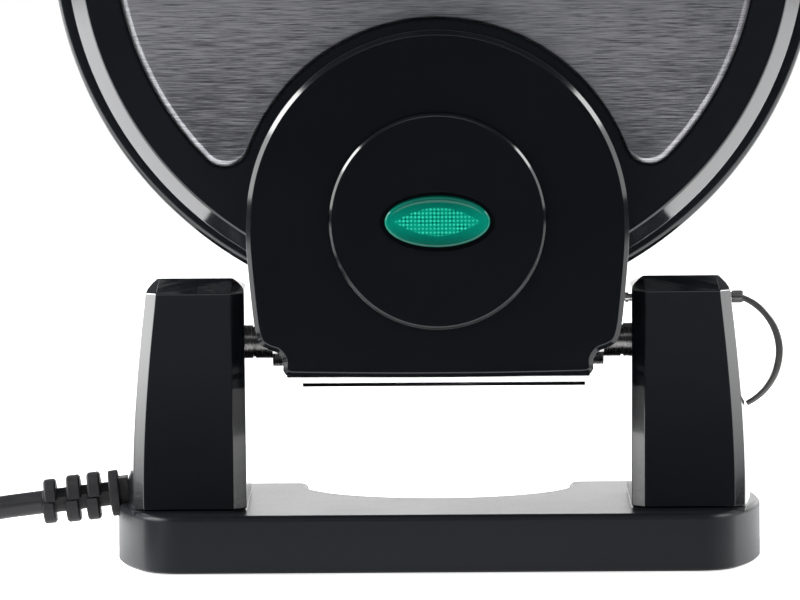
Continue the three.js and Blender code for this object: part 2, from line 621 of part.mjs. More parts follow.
const bushingSeatX = towerInnerX(FLIP_AXIS_Z) + TOWER_WALL + STATIC_GAP * 2;
const lockPinZ = FLIP_AXIS_Z + LOCK_PIN_RISE;
const springInnerX = LOCK_COLLAR_X + LOCK_COLLAR_WIDTH + STATIC_GAP;
const springOuterX = TOWER_OUTER_X_TOP - SPRING_END_CLEAR;
const springSeatX = springOuterX + STATIC_GAP;
let towerShell = cut(towerBody(0), towerBody(TOWER_WALL),
  rodX(TOWER_INNER_X_FOOT - CUT_OVERRUN * 2, bushingSeatX + CUT_OVERRUN, 0, FLIP_AXIS_Z,
    SHAFT_RADIUS + STATIC_GAP * 2));
const pinHole = (low, high) => rodX(low, high, 0, lockPinZ, LOCK_PIN_RADIUS + STATIC_GAP, SMALL_SIDES);
const seatWeb = common(towerBody(TOWER_WALL / 2), box(springSeatX, springSeatX + TOWER_WALL,
  -TOWER_HALF_DEPTH_FOOT, TOWER_HALF_DEPTH_FOOT, lockPinZ - LOCK_COLLAR_RADIUS - TOWER_WALL / 2,
  TOWER_TOP_Z));
const rightTower = cut(join(towerShell, seatWeb), pinHole(LOCK_PIN_TIP_X, RING_BOSS_X));
const leftTower = cut(mirroredX(towerShell), reliefHole());
add(part, 'left_tower_cover', leftTower, BLACK);
add(part, 'right_tower_cover', rightTower, BLACK);

// Each bushing stands on a post that rises from the base inside its tower
const bushingOuterX = bushingSeatX + BUSHING_LENGTH;
const postTopZ = FLIP_AXIS_Z - SHAFT_RADIUS - RUNNING_GAP * 2;
const bushingBody = join(
  rodX(bushingSeatX, bushingSeatX + BUSHING_FLANGE, 0, FLIP_AXIS_Z, BUSHING_FLANGE_RADIUS),
  rodX(bushingSeatX, bushingOuterX, 0, FLIP_AXIS_Z, BUSHING_RADIUS),
  box(bushingSeatX, bushingSeatX + BUSHING_WEB, -BUSHING_RADIUS, BUSHING_RADIUS,
    towerFootZ + STATIC_GAP, postTopZ));
const bushing = cut(bushingBody, rodX(bushingSeatX - CUT_OVERRUN, bushingOuterX + CUT_OVERRUN, 0,
  FLIP_AXIS_Z, SHAFT_RADIUS + RUNNING_GAP));
add(part, 'right_shaft_bushing', bushing, PLASTIC);
add(part, 'left_shaft_bushing', mirroredX(bushing), PLASTIC);

// Lock pin with its two grooves and its collar, pulled along +X by the finger ring

const pinGrooves = [1, 3].flatMap((k) => {
  const x = LOCK_PIN_TIP_X + k * LOCK_PIN_GROOVE_WIDTH;
  const thin = LOCK_PIN_RADIUS - LOCK_PIN_GROOVE;
  return [[LOCK_PIN_RADIUS, x], [thin, x], [thin, x + LOCK_PIN_GROOVE_WIDTH],
    [LOCK_PIN_RADIUS, x + LOCK_PIN_GROOVE_WIDTH]];
});
const boreEndX = RING_BOSS_X + RING_BOSS_LENGTH - RING_BOSS_END;
const pinEndX = boreEndX - STATIC_GAP;
const pinProfile = [[0, LOCK_PIN_TIP_X], [LOCK_PIN_RADIUS, LOCK_PIN_TIP_X], ...pinGrooves,
  [LOCK_PIN_RADIUS, LOCK_COLLAR_X], [LOCK_COLLAR_RADIUS, LOCK_COLLAR_X],
  [LOCK_COLLAR_RADIUS, LOCK_COLLAR_X + LOCK_COLLAR_WIDTH],
  [LOCK_PIN_RADIUS, LOCK_COLLAR_X + LOCK_COLLAR_WIDTH], [LOCK_PIN_RADIUS, pinEndX], [0, pinEndX]];
add(part, 'lock_pin', turnedX(pinProfile, 0, lockPinZ, SMALL_SIDES), BRIGHT);

const springBore = LOCK_PIN_RADIUS + STATIC_GAP;
add(part, 'lock_spring', cut(
  rodX(springInnerX, springOuterX, 0, lockPinZ, springBore + SPRING_WALL, SMALL_SIDES),
  rodX(springInnerX - CUT_OVERRUN, springOuterX + CUT_OVERRUN, 0, lockPinZ, springBore, SMALL_SIDES)),
BRIGHT);

// The ring's band runs from its boss round to a free end
function ringBand() {
  const start = THREE.MathUtils.degToRad(RING_START_DEGREES);
  const end = THREE.MathUtils.degToRad(RING_END_DEGREES);
  const centreX = RING_BOSS_X - RING_RADIUS * Math.cos(start);
  const centreZ = lockPinZ + RING_LIFT - RING_RADIUS * Math.sin(start);
  const shape = new THREE.Shape();
  shape.absarc(centreX, centreZ, RING_RADIUS + RING_BAND / 2, end, start);
  shape.absarc(centreX, centreZ, RING_RADIUS - RING_BAND / 2, start, end, true);
  shape.closePath();
  return raised(shape, -RING_BAND_DEPTH / 2, RING_BAND_DEPTH / 2, RING_BAND / 6).rotateX(Math.PI / 2);
}
const ringBoss = rodX(RING_BOSS_X, RING_BOSS_X + RING_BOSS_LENGTH, 0, lockPinZ, RING_BOSS_RADIUS,
  SMALL_SIDES);
const ringBore = rodX(RING_BOSS_X - CUT_OVERRUN, boreEndX, 0, lockPinZ, LOCK_PIN_RADIUS + RUNNING_GAP,
  SMALL_SIDES);
add(part, 'pull_ring', cut(join(ringBoss, ringBand()), ringBore), BLACK);

// Round halves: each is made for the near side, outward along -Y, in a frame on the flip axis

const nearHalf = new THREE.Group();
const farHalf = new THREE.Group();
nearHalf.position.z = FLIP_AXIS_Z;
farHalf.position.z = FLIP_AXIS_Z;
farHalf.rotation.z = Math.PI;
part.add(nearHalf, farHalf);

// A profile of [radius, depth outward] pairs turned about the disc's axis
function discTurned(profile, sides = DISC_SIDES) {
  const points = profile.map(([radius, depth]) => new THREE.Vector2(radius, depth));
  return new THREE.LatheGeometry(points, sides).rotateX(Math.PI).translate(0, 0, DISC_RISE);
}

// The housing's outside, let out by grow where a neighbour is cut to fit it
function housingSolid(grow) {
  const low = grow ? -CUT_OVERRUN : MID_GAP;
  const rim = RIM_RADIUS + grow;
  const drum = DRUM_RADIUS + grow;
  const shoulder = SHOULDER_RADIUS + grow;
  const rimDepth = RIM_DEPTH + grow;
  const drumDepth = DRUM_DEPTH + grow;
  const face = FACE_DEPTH + grow;
  return discTurned([[0, low], [rim, low], [rim, rimDepth], [drum, rimDepth], [drum, drumDepth],
    [lerp(drum, shoulder, SHOULDER_OUT_SHARE), lerp(drumDepth, face, SHOULDER_UP_SHARE)],
    [shoulder, face], [0, face]]);
}

// The steel plate's outline: the disc's circle, turning on a small radius to follow the arch
function steelOutline(grow) {
  const disc = STEEL_RADIUS + grow;
  const arch = ARCH_RADIUS + STEEL_ARCH_GAP - grow;
  const corner = Math.max(STEEL_CORNER_RADIUS + grow, STEEL_BEVEL);
  const apart = DISC_RISE - ARCH_RISE;
  const fromArch = arch + corner;
  const fromDisc = disc - corner;
  const up = (fromArch ** 2 - fromDisc ** 2 + apart ** 2) / (2 * apart);
  const out = Math.sqrt(fromArch ** 2 - up ** 2);
  const z = ARCH_RISE + up;
  const discAngle = Math.atan2(z - DISC_RISE, out);
  const archAngle = Math.atan2(ARCH_RISE - z, out);
  const shape = new THREE.Shape();
  shape.absarc(0, DISC_RISE, disc, discAngle, Math.PI - discAngle);
  shape.absarc(-out, z, corner, Math.PI - discAngle, Math.PI * 2 + archAngle);
  shape.absarc(0, ARCH_RISE, arch, Math.PI + archAngle, -archAngle, true);
  shape.absarc(out, z, corner, Math.PI - archAngle, Math.PI * 2 + discAngle);
  shape.closePath();
  return shape;
}

function housing() {
  const inner = RIM_RADIUS - HOUSING_WALL;
  const drumInner = DRUM_RADIUS - HOUSING_WALL;
  const floor = HOUSING_FLOOR;
  const hollow = discTurned([[0, -CUT_OVERRUN], [inner, -CUT_OVERRUN], [inner, RIM_DEPTH - HOUSING_WALL],
    [drumInner, RIM_DEPTH - HOUSING_WALL], [drumInner, DRUM_DEPTH - HOUSING_WALL / 2],
    [SHOULDER_RADIUS - HOUSING_WALL, floor], [0, floor]], HOLLOW_SIDES);
  const recess = frontal(steelOutline(STATIC_GAP * 2), RECESS_DEPTH, FACE_DEPTH + CUT_OVERRUN, 0,
    STEEL_STEPS);
  const opening = frontal(steelOutline(-STEEL_LEDGE), floor - CUT_OVERRUN,
    FACE_DEPTH + CUT_OVERRUN, 0, STEEL_STEPS);
  const wiring = rodY(0, -FACE_DEPTH - CUT_OVERRUN, -floor + CUT_OVERRUN, ARCH_RISE, LAMP_RADIUS * 2,
    SMALL_SIDES);
  return cut(housingSolid(0), hollow, recess, opening, wiring);
}

function steelPlate() {
  return frontal(steelOutline(0), RECESS_DEPTH + STATIC_GAP, RECESS_DEPTH + STATIC_GAP + STEEL_THICKNESS,
    STEEL_THICKNESS / 3, STEEL_STEPS, 1);
}

// Front view of the hinge cover: a half-round top, sides that draw in, and a bowed lower edge
function coverOutline(inset) {
  const radius = ARCH_RADIUS - inset;
  const shape = new THREE.Shape();
  const side = COVER_RISE_SHARES.map((share, i) => (
    [ARCH_RADIUS * COVER_WIDTH_SHARES[i] - inset, ARCH_RISE * share]));
  side[side.length - 1][1] += inset;
  shape.absarc(0, ARCH_RISE, radius, 0, Math.PI);
  side.forEach(([x, z]) => shape.lineTo(-x, z));
  const [endX, endZ] = side[side.length - 1];
  shape.quadraticCurveTo(0, (inset - COVER_FACE_BOTTOM_DROP) * 2 - endZ, endX, endZ);
  side.reverse().forEach(([x, z]) => shape.lineTo(x, z));
  shape.closePath();
  return shape;
}

// The cover's rounded belly under the flip axis, deepest at the mid-plane
function coverBelly(inset) {
  const low = COVER_BARREL_RADIUS - inset;
  const half = ARCH_RADIUS * COVER_WIDTH_SHARES[COVER_WIDTH_SHARES.length - 1] - inset;
  const face = COVER_DEPTH - COVER_EDGE - inset;
  const near = inset ? -CUT_OVERRUN : MID_GAP;
  const drop = COVER_FACE_BOTTOM_DROP - inset;
  const belly = BELLY_DEPTH_SHARES.map((share, i) => [-face * share, -lerp(drop, low, BELLY_DROP_SHARES[i])]);
  return sideways([[-near, 0], [-face, 0], ...belly, [-near, -low]], -half, half);
}

const knuckleClear = KNUCKLE_RADIUS + STATIC_GAP * 2;
const reach = ARCH_RADIUS + CUT_OVERRUN;

function hingeCover(isLid) {
  const outside = join(frontal(coverOutline(0), MID_GAP, COVER_DEPTH, COVER_EDGE, COVER_STEPS),
    coverBelly(0));
  const inside = join(frontal(coverOutline(COVER_WALL), -CUT_OVERRUN, COVER_DEPTH - COVER_WALL),
    coverBelly(COVER_WALL / 2));
  const tools = [inside, housingSolid(STATIC_GAP),
    rodX(-reach, reach, 0, 0, knuckleClear),
    rodX(-reach, reach, 0, LOCK_PIN_RISE, LOCK_PIN_RADIUS + STATIC_GAP, SMALL_SIDES)];
  if (isLid) {
    const relief = rodX(-reach, reach, 0, 0, COVER_LID_RELIEF_RADIUS);
    tools.push(common(relief, box(-reach, reach, -reach, reach, -reach, 0)));
    tools.push(rodX(-KNUCKLE_INNER_X, KNUCKLE_INNER_X, 0, 0, COVER_BARREL_RADIUS + STATIC_GAP));
  }
  const boss = BUTTON_RADIUS + STATIC_GAP;
  tools.push(rodY(0, -COVER_DEPTH - CUT_OVERRUN, -COVER_DEPTH + COVER_WALL / 2, ARCH_RISE, boss));
  tools.push(lensRod(0, COVER_DEPTH - COVER_WALL - CUT_OVERRUN, COVER_DEPTH + CUT_OVERRUN));
  return cut(outside, ...tools);
}

// An elliptical plug of the lens's outline, let out by grow
function lensRod(grow, low, high) {
  const shape = new THREE.Shape();
  shape.absellipse(0, ARCH_RISE, LENS_HALF_WIDTH + grow, LENS_HALF_HEIGHT + grow, 0, Math.PI * 2);
  return frontal(shape, low, high);
}

function bossDisc() {
  const low = COVER_DEPTH - COVER_WALL / 2 + STATIC_GAP;
  const disc = new THREE.LatheGeometry([[0, low], [BUTTON_RADIUS, low],
    [BUTTON_RADIUS, COVER_DEPTH + BUTTON_PROUD / 3], [BUTTON_FLAT_RADIUS, BUTTON_TOP],
    [0, BUTTON_TOP]].map(([radius, depth]) => new THREE.Vector2(radius, depth)), ROUND_SIDES)
    .rotateX(Math.PI).translate(0, 0, ARCH_RISE);
  return cut(disc, lensRod(LENS_GROOVE, low - CUT_OVERRUN, BUTTON_TOP + CUT_OVERRUN));
}

// The lens is a low dome: rings of its ellipse, drawn in toward the top
function lampLens() {
  const steps = LENS_STEPS;
  const ring = (share, depth) => {
    const points = [];
    for (let i = 0; i < steps; i += 1) {
      const angle = (i / steps) * Math.PI * 2;
      points.push([LENS_HALF_WIDTH * share * Math.cos(angle), -depth,
        ARCH_RISE + LENS_HALF_HEIGHT * share * Math.sin(angle)]);
    }
    return points;
  };
  const fit = 1 - STATIC_GAP / LENS_HALF_HEIGHT;
  const low = COVER_DEPTH - LENS_DEPTH;
  return skinned([ring(fit, low), ring(fit, BUTTON_TOP), ring(fit * LENS_SHOULDER_SHARE, LENS_TOP),
    ring(fit * LENS_SHOULDER_SHARE * LENS_SHOULDER_SHARE, LENS_TOP)]);
}

// A small lamp body lying behind its lens
function lamp() {
  const back = FACE_DEPTH + LAMP_CLEAR / 2 + LAMP_RADIUS;
  const glass = rodX(-LAMP_LENGTH / 2, LAMP_LENGTH / 2, -back, ARCH_RISE, LAMP_RADIUS, SMALL_SIDES);
  const pegs = box(-LAMP_LENGTH / 4, LAMP_LENGTH / 4, -back, -FACE_DEPTH - STATIC_GAP,
    ARCH_RISE + LAMP_RADIUS / 2, ARCH_RISE + LAMP_RADIUS * LAMP_PEG_SHARE);
  return join(glass, pegs);
}

// Near bracket: a plate on the face, a shelf under the housing and the barrel that holds the shafts
const bracketScrewPlaces = [-1, 1].map((side) => [side * BRACKET_SCREW_X, BRACKET_SCREW_RISE]);
const bracketLow = FACE_DEPTH + STATIC_GAP;
const bracketHigh = bracketLow + BRACKET_THICKNESS;
function nearBracket() {
  const shelfLow = BRACKET_SHELF_CLEAR - COVER_FACE_BOTTOM_DROP;
  const shelfTop = shelfLow + BRACKET_THICKNESS;
  const half = BRACKET_HALF_WIDTH;
  const plate = box(-half, half, -bracketHigh, -bracketLow, shelfLow, BRACKET_TOP_RISE);
  const shelf = box(-half, half, -bracketHigh, 0, shelfLow, shelfTop);
  const barrel = rodX(-BARREL_HALF_LENGTH, BARREL_HALF_LENGTH, 0, 0, BARREL_RADIUS);
  return cut(join(barrel, shelf, plate), rodX(-reach, reach, 0, 0, SHAFT_RADIUS + STATIC_GAP),
    ...bracketScrewPlaces.map(([x, z]) => screwHole(x, z)));
}

// Far bracket: a plate on the face with two arms that end in knuckles round the shafts
function farBracket() {
  const outer = KNUCKLE_OUTER_X - STATIC_GAP;
  const root = KNUCKLE_RADIUS * ARM_ROOT_SHARE;
  const arm = [[0, root], [-bracketHigh, ARM_RISE + ARM_WIDTH], [-bracketHigh, ARM_RISE],
    [-KNUCKLE_RADIUS, ARCH_RISE * COVER_NECK_RISE_SHARE], [0, -root]];
  const arms = [-1, 1].map((side) => {
    const low = side > 0 ? KNUCKLE_INNER_X : -outer;
    const high = side > 0 ? outer : -KNUCKLE_INNER_X;
    return join(rodX(low, high, 0, 0, KNUCKLE_RADIUS), sideways(arm, low, high));
  });
  const plate = box(-outer, outer, -bracketHigh, -bracketLow, ARM_RISE, BRACKET_TOP_RISE);
  return cut(join(plate, ...arms), rodX(-reach, reach, 0, 0, SHAFT_RADIUS + RUNNING_GAP),
    rodX(-KNUCKLE_INNER_X, KNUCKLE_INNER_X, 0, 0, BARREL_RADIUS + STATIC_GAP),
    ...bracketScrewPlaces.map(([x, z]) => screwHole(x, z)));
}

function screwHole(x, z) {
  return rodY(x, -FACE_DEPTH * 2, 0, z, SCREW_RADIUS + STATIC_GAP, SMALL_SIDES);
}

// A pan-head screw along the disc's axis, its head outward on a seat at the given depth
function screwY(x, z, seat, length) {
  const profile = [[0, seat - length], [SCREW_RADIUS, seat - length], [SCREW_RADIUS, seat],
    [SCREW_HEAD_RADIUS, seat], [SCREW_HEAD_RADIUS, seat + SCREW_HEAD_HEIGHT], [0, seat + SCREW_HEAD_HEIGHT]];
  const points = profile.map(([radius, depth]) => new THREE.Vector2(radius, depth));
  return new THREE.LatheGeometry(points, SMALL_SIDES).rotateX(Math.PI).translate(x, 0, z);
}

// Waffle plate: a dished casting with square posts in four quarters and a cross of ribs
function cookingPlate() {
  const back = PLATE_BACK - STATIC_GAP;
  const wallOuter = GRID_WALL_RADIUS;
  const seat = RIM_DEPTH - HOUSING_WALL - STATIC_GAP;
  const wallInner = GRID_WALL_RADIUS - GRID_FLANGE;
  const dish = discTurned([[0, GRID_DEPTH], [wallInner, GRID_DEPTH], [wallInner + GRID_FLANGE / 2, MID_GAP],
    [GRID_RADIUS, MID_GAP], [GRID_RADIUS, seat], [wallOuter + GRID_FLANGE / 2, seat],
    [wallOuter, back], [0, back]], ROUND_SIDES);
  const posts = [];
  const rise = GRID_DEPTH - POST_TOP_DEPTH;
  const across = POST_WIDTH * Math.SQRT1_2;
  for (let i = -POST_COUNT_PER_SIDE; i < POST_COUNT_PER_SIDE; i += 1) {
    for (let k = -POST_COUNT_PER_SIDE; k < POST_COUNT_PER_SIDE; k += 1) {
      const x = (i + 1 / 2) * GRID_PITCH;
      const z = (k + 1 / 2) * GRID_PITCH;
      if (Math.hypot(x, z) < wallInner - POST_WIDTH) {
        const middle = (GRID_DEPTH + CUT_OVERRUN + POST_TOP_DEPTH) / 2;
        posts.push(new THREE.CylinderGeometry(across * POST_TOP_SHARE, across, rise + CUT_OVERRUN, 4)
          .rotateY(Math.PI / 4).translate(x, -middle, DISC_RISE + z));
      }
    }
  }
  const half = CROSS_RIB_WIDTH / 2;
  const long = wallInner + GRID_FLANGE / 4;
  const [ribLow, ribTop] = [-GRID_DEPTH - CUT_OVERRUN, -CROSS_RIB_TOP];
  const ribs = [box(-long, long, ribLow, ribTop, DISC_RISE - half, DISC_RISE + half),
    box(-half, half, ribLow, ribTop, DISC_RISE - long, DISC_RISE + long)];
  return join(dish, ...posts, ...ribs);
}

// A section carried round part of a circle, as a bent tube with flat ends
function bentTube(radius, tube, openShare, depth) {
  const rings = [];
  for (let i = 0; i <= ELEMENT_STEPS; i += 1) {
    const turn = Math.PI * (3 / 2 + 2 * lerp(openShare, 1 - openShare, i / ELEMENT_STEPS));
    const ring = [];
    for (let k = 0; k < ELEMENT_SIDES; k += 1) {
      const angle = (k / ELEMENT_SIDES) * Math.PI * 2;
      const out = radius + tube * Math.cos(angle);
      ring.push([out * Math.cos(turn), tube * Math.sin(angle) - depth, DISC_RISE + out * Math.sin(turn)]);
    }
    rings.push(ring);
  }
  return skinned(rings);
}

function heatShield() {
  const inner = SHIELD_RADIUS - SHIELD_THICKNESS;
  const floor = SHIELD_LOW + SHIELD_THICKNESS;
  return discTurned([[SHIELD_HOLE_RADIUS, SHIELD_LOW], [SHIELD_RADIUS, SHIELD_LOW],
    [SHIELD_RADIUS, SHIELD_HIGH], [inner, SHIELD_HIGH], [inner, floor], [SHIELD_HOLE_RADIUS, floor],
    [SHIELD_HOLE_RADIUS, SHIELD_LOW]], ROUND_SIDES);
}

function thermostat() {
  const half = THERMOSTAT_TERMINAL / 2;
  const tabEnd = HOUSING_FLOOR - THERMOSTAT_CLEAR;
  const canEnd = tabEnd - half;
  const can = rodY(0, -canEnd, -PLATE_BACK, DISC_RISE, THERMOSTAT_RADIUS, SMALL_SIDES);
  const tabs = [-1, 1].map((side) => {
    const x = side * THERMOSTAT_RADIUS / 2;
    return box(x - half, x + half, -tabEnd, -(PLATE_BACK + canEnd) / 2, DISC_RISE - half, DISC_RISE + half);
  });
  return join(can, ...tabs);
}

// Handle: a flat grip that widens into a root fitted to the housing
const handleTop = DISC_RISE + RIM_RADIUS + HANDLE_REACH;
function handleBlank() {
  const shape = new THREE.Shape();
  const low = DISC_RISE + DRUM_RADIUS - HANDLE_THICKNESS;
  const corner = HANDLE_CORNER;
  shape.moveTo(-HANDLE_HALF_WIDTH, low);
  shape.lineTo(HANDLE_HALF_WIDTH, low);
  shape.bezierCurveTo(HANDLE_HALF_WIDTH, low + corner * 3, HANDLE_TIP_HALF_WIDTH - corner / 2,
    handleTop - corner * 3, HANDLE_TIP_HALF_WIDTH, handleTop - corner);
  shape.quadraticCurveTo(HANDLE_TIP_HALF_WIDTH, handleTop, HANDLE_TIP_HALF_WIDTH - corner, handleTop);
  shape.lineTo(corner - HANDLE_TIP_HALF_WIDTH, handleTop);
  shape.quadraticCurveTo(-HANDLE_TIP_HALF_WIDTH, handleTop, -HANDLE_TIP_HALF_WIDTH, handleTop - corner);
  shape.bezierCurveTo(-HANDLE_TIP_HALF_WIDTH + corner / 2, handleTop - corner * 3, -HANDLE_HALF_WIDTH,
    low + corner * 3, -HANDLE_HALF_WIDTH, low);
  return cut(frontal(shape, HANDLE_NECK_DEPTH, HANDLE_NECK_DEPTH + HANDLE_THICKNESS, HANDLE_EDGE),
    housingSolid(STATIC_GAP));
}

const latchSlot = LATCH_HALF_WIDTH + LATCH_SLOT_CLEAR;
const latchPivotZ = handleTop - LATCH_PIVOT_DROP;
const latchPinHalf = latchSlot + LATCH_PIN_GRIP;
const latchPin = (grow) => rodX(-latchPinHalf - grow, latchPinHalf + grow, -LATCH_PIVOT_DEPTH, latchPivotZ,
  LATCH_PIVOT_RADIUS + grow, SMALL_SIDES);
const slotLow = latchPivotZ - LATCH_THICKNESS - LATCH_SLOT_CLEAR;

function nearHandle() {
  return cut(handleBlank(), box(-latchSlot, latchSlot, -HANDLE_THICKNESS * 2,
    -LATCH_PIVOT_DEPTH + LATCH_THICKNESS + LATCH_SLOT_CLEAR, slotLow, handleTop + CUT_OVERRUN),
  latchPin(STATIC_GAP));
}

function farHandle() {
  return cut(handleBlank(), box(-latchSlot, latchSlot, -LATCH_LIP_DEPTH - LATCH_THICKNESS
    - LATCH_SLOT_CLEAR * 2, -LATCH_LIP_DEPTH, handleTop - LATCH_HOOK - LATCH_SLOT_CLEAR,
  handleTop + CUT_OVERRUN));
}

// The latch, drawn shut: from its pivot over both grips to a hook in the far one's notch
function latchShut() {
  const bar = handleTop + LATCH_SLOT_CLEAR;
  const hookY = LATCH_LIP_DEPTH + LATCH_SLOT_CLEAR;
  const half = LATCH_THICKNESS / 2;
  const y = -LATCH_PIVOT_DEPTH;
  const arm = sideways([[y - half, latchPivotZ], [y + half, latchPivotZ], [y + half, bar], [hookY, bar],
    [hookY, handleTop - LATCH_HOOK], [hookY + LATCH_THICKNESS, handleTop - LATCH_HOOK],
    [hookY + LATCH_THICKNESS, bar + LATCH_THICKNESS], [y - half, bar + LATCH_THICKNESS]],
  -LATCH_HALF_WIDTH, LATCH_HALF_WIDTH);
  const eye = rodX(-LATCH_HALF_WIDTH, LATCH_HALF_WIDTH, y, latchPivotZ, LATCH_THICKNESS, SMALL_SIDES);
  const bore = rodX(-LATCH_HALF_WIDTH - CUT_OVERRUN, LATCH_HALF_WIDTH + CUT_OVERRUN, y, latchPivotZ,
    LATCH_PIVOT_RADIUS + RUNNING_GAP, SMALL_SIDES);
  return cut(join(arm, eye), bore);
}

// Rest foot: a block on the face near the handle that meets the table when the iron lies flat
const footTip = FLIP_AXIS_Z - FOOT_TABLE_GAP;
const footZ = DISC_RISE + RIM_RADIUS - FOOT_BLOCK_INSET;
function restFoot() {
  const half = FOOT_BLOCK_THICKNESS / 2;
  const shape = outline([[-FOOT_BLOCK_HALF_WIDTH, footZ - half], [FOOT_BLOCK_HALF_WIDTH, footZ - half],
    [FOOT_BLOCK_HALF_WIDTH, footZ + half], [-FOOT_BLOCK_HALF_WIDTH, footZ + half]]);
  return cut(frontal(shape, DRUM_DEPTH, footTip, FOOT_EDGE), housingSolid(STATIC_GAP));
}

function addHalf(group, side, lensMaterial, isLid) {
  const screwHoles = bracketScrewPlaces.map(([x, z]) => screwHole(x, z));
  add(group, `${side}_housing`, cut(housing(), ...screwHoles), BLACK);
  add(group, `${side}_steel_plate`, steelPlate(), STEEL);
  add(group, `${side}_hinge_cover`, hingeCover(isLid), BLACK);
  add(group, `${side}_boss_disc`, bossDisc(), BLACK);
  add(group, `${side}_lamp_lens`, lampLens(), lensMaterial);
  add(group, `${side}_lamp`, lamp(), GLASS);
  add(group, `${side}_hinge_bracket`, isLid ? farBracket() : nearBracket(), BRIGHT);
  add(group, `${side}_cooking_plate`, cookingPlate(), ALUMINIUM);
  add(group, `${side}_heating_element`, bentTube(ELEMENT_RADIUS, ELEMENT_TUBE, ELEMENT_OPEN_SHARE,
    PLATE_BACK + ELEMENT_TUBE), BRIGHT);
  add(group, `${side}_heat_shield`, heatShield(), BRIGHT);
  add(group, `${side}_thermostat`, thermostat(), BRASS);
  add(group, `${side}_handle`, isLid ? farHandle() : nearHandle(), BLACK);
  add(group, `${side}_rest_foot`, restFoot(), BLACK);
  bracketScrewPlaces.forEach(([x, z], i) => {
    const screw = screwY(x, z, bracketHigh + STATIC_GAP, BRACKET_SCREW_LENGTH);
    add(group, `${side}_bracket_screw_${i + 1}`, screw, BRIGHT);
  });
}
addHalf(nearHalf, 'near', GREEN, false);
addHalf(farHalf, 'far', RED, true);

const shaftProfile = (bore) => [[bore, SHAFT_INNER_X], [SHAFT_RADIUS, SHAFT_INNER_X],
  [SHAFT_RADIUS, SHAFT_OUTER_X], [bore, SHAFT_OUTER_X], [bore, SHAFT_INNER_X]];
add(nearHalf, 'right_flip_shaft', turnedX(shaftProfile(0).slice(0, 4), 0, 0), BRIGHT);
add(nearHalf, 'left_flip_shaft', turnedX(shaftProfile(SHAFT_BORE_RADIUS), 0, 0).rotateZ(Math.PI), BRIGHT);
add(nearHalf, 'latch_pin', latchPin(0), BRIGHT);

const latchHinge = new THREE.Group();
latchHinge.position.set(0, -LATCH_PIVOT_DEPTH, latchPivotZ);
latchHinge.rotation.x = THREE.MathUtils.degToRad(LATCH_OPEN_DEGREES);
add(latchHinge, 'handle_latch', latchShut().translate(0, LATCH_PIVOT_DEPTH, -latchPivotZ), BLACK);
nearHalf.add(latchHinge);

// Strain relief: a flange on the tower's foot, a neck through the wall and ribs that taper outward
const droop = Math.atan2(RELIEF_DROOP, RELIEF_LENGTH);
const relief = new THREE.Group();
relief.position.set(-TOWER_OUTER_X_FOOT - STATIC_GAP, RELIEF_Y, RELIEF_Z);
relief.rotation.y = Math.PI - droop;
part.add(relief);

function strainRelief() {
  const profile = [[0, -RELIEF_NECK_LENGTH], [RELIEF_CORE_RADIUS, -RELIEF_NECK_LENGTH],
    [RELIEF_CORE_RADIUS, 0], [RELIEF_FLANGE_RADIUS, 0], [RELIEF_FLANGE_RADIUS, RELIEF_FLANGE],
    [RELIEF_CORE_RADIUS, RELIEF_FLANGE]];
  const pitch = (RELIEF_LENGTH - RELIEF_FLANGE) / RELIEF_RIBS;
  for (let i = 0; i < RELIEF_RIBS; i += 1) {
    const high = RELIEF_FLANGE + pitch * (i + 1);
    const low = high - RELIEF_RIB_WIDTH;
    const share = lerp(1, RELIEF_TAPER_SHARE, (i + 1) / RELIEF_RIBS);
    const core = RELIEF_CORE_RADIUS * share;
    const rib = RELIEF_FLANGE_RADIUS * share;
    profile.push([core, low], [rib, low], [rib, high], [core, high]);
  }
  profile.push([0, RELIEF_LENGTH]);
  const webHalf = RELIEF_CORE_RADIUS * RELIEF_WEB_SHARE;
  const web = box(RELIEF_FLANGE / 2, RELIEF_LENGTH - RELIEF_RIB_WIDTH / 2, -webHalf, webHalf,
    -RELIEF_WEB / 2, RELIEF_WEB / 2);
  return join(turnedX(profile, 0, 0, SMALL_SIDES), web);
}
add(relief, 'strain_relief', strainRelief(), RUBBER);

// Inside the base: a clamp on the lead and the terminal block, both on the bottom plate
const floorZ = plateTopZ + STATIC_GAP;
add(part, 'cord_clamp', box(-CLAMP_X - CLAMP_LENGTH / 2, -CLAMP_X + CLAMP_LENGTH / 2, -CLAMP_WIDTH / 2,
  CLAMP_WIDTH / 2, floorZ, floorZ + CLAMP_HEIGHT), PLASTIC);
add(part, 'terminal_block', box(-TERMINAL_LENGTH / 2, TERMINAL_LENGTH / 2, TERMINAL_Y,
  TERMINAL_Y + TERMINAL_DEPTH, floorZ, innerTopZ - TERMINAL_CLEAR), PLASTIC);

// Free stretch of the lead, from the strain relief down to the table and on to the coil
const cordZ = CORD_RADIUS + TABLE_CLEAR;
function freeCord() {
  const path = new THREE.CatmullRomCurve3(CORD_ROUTE.map(([x, y, z]) => new THREE.Vector3(x, y, z)));
  const section = new THREE.Shape();
  section.absarc(0, 0, CORD_RADIUS, 0, Math.PI * 2);
  const steps = Math.round(path.getLength() / (CORD_RADIUS * CORD_STEP_RADII));
  return new THREE.ExtrudeGeometry(section, { steps, curveSegments: CORD_SIDES / 2, extrudePath: path,
    bevelEnabled: false });
}
add(part, 'mains_cord', freeCord(), CORD);

// Coil: turns that spiral in on the lower layer and out again on the upper one
const coilTurns = COIL_TURNS_PER_LAYER * COIL_LAYERS;
const coilOuter = COIL_MID_RADIUS + (COIL_PITCH * COIL_TURNS_PER_LAYER) / 2;

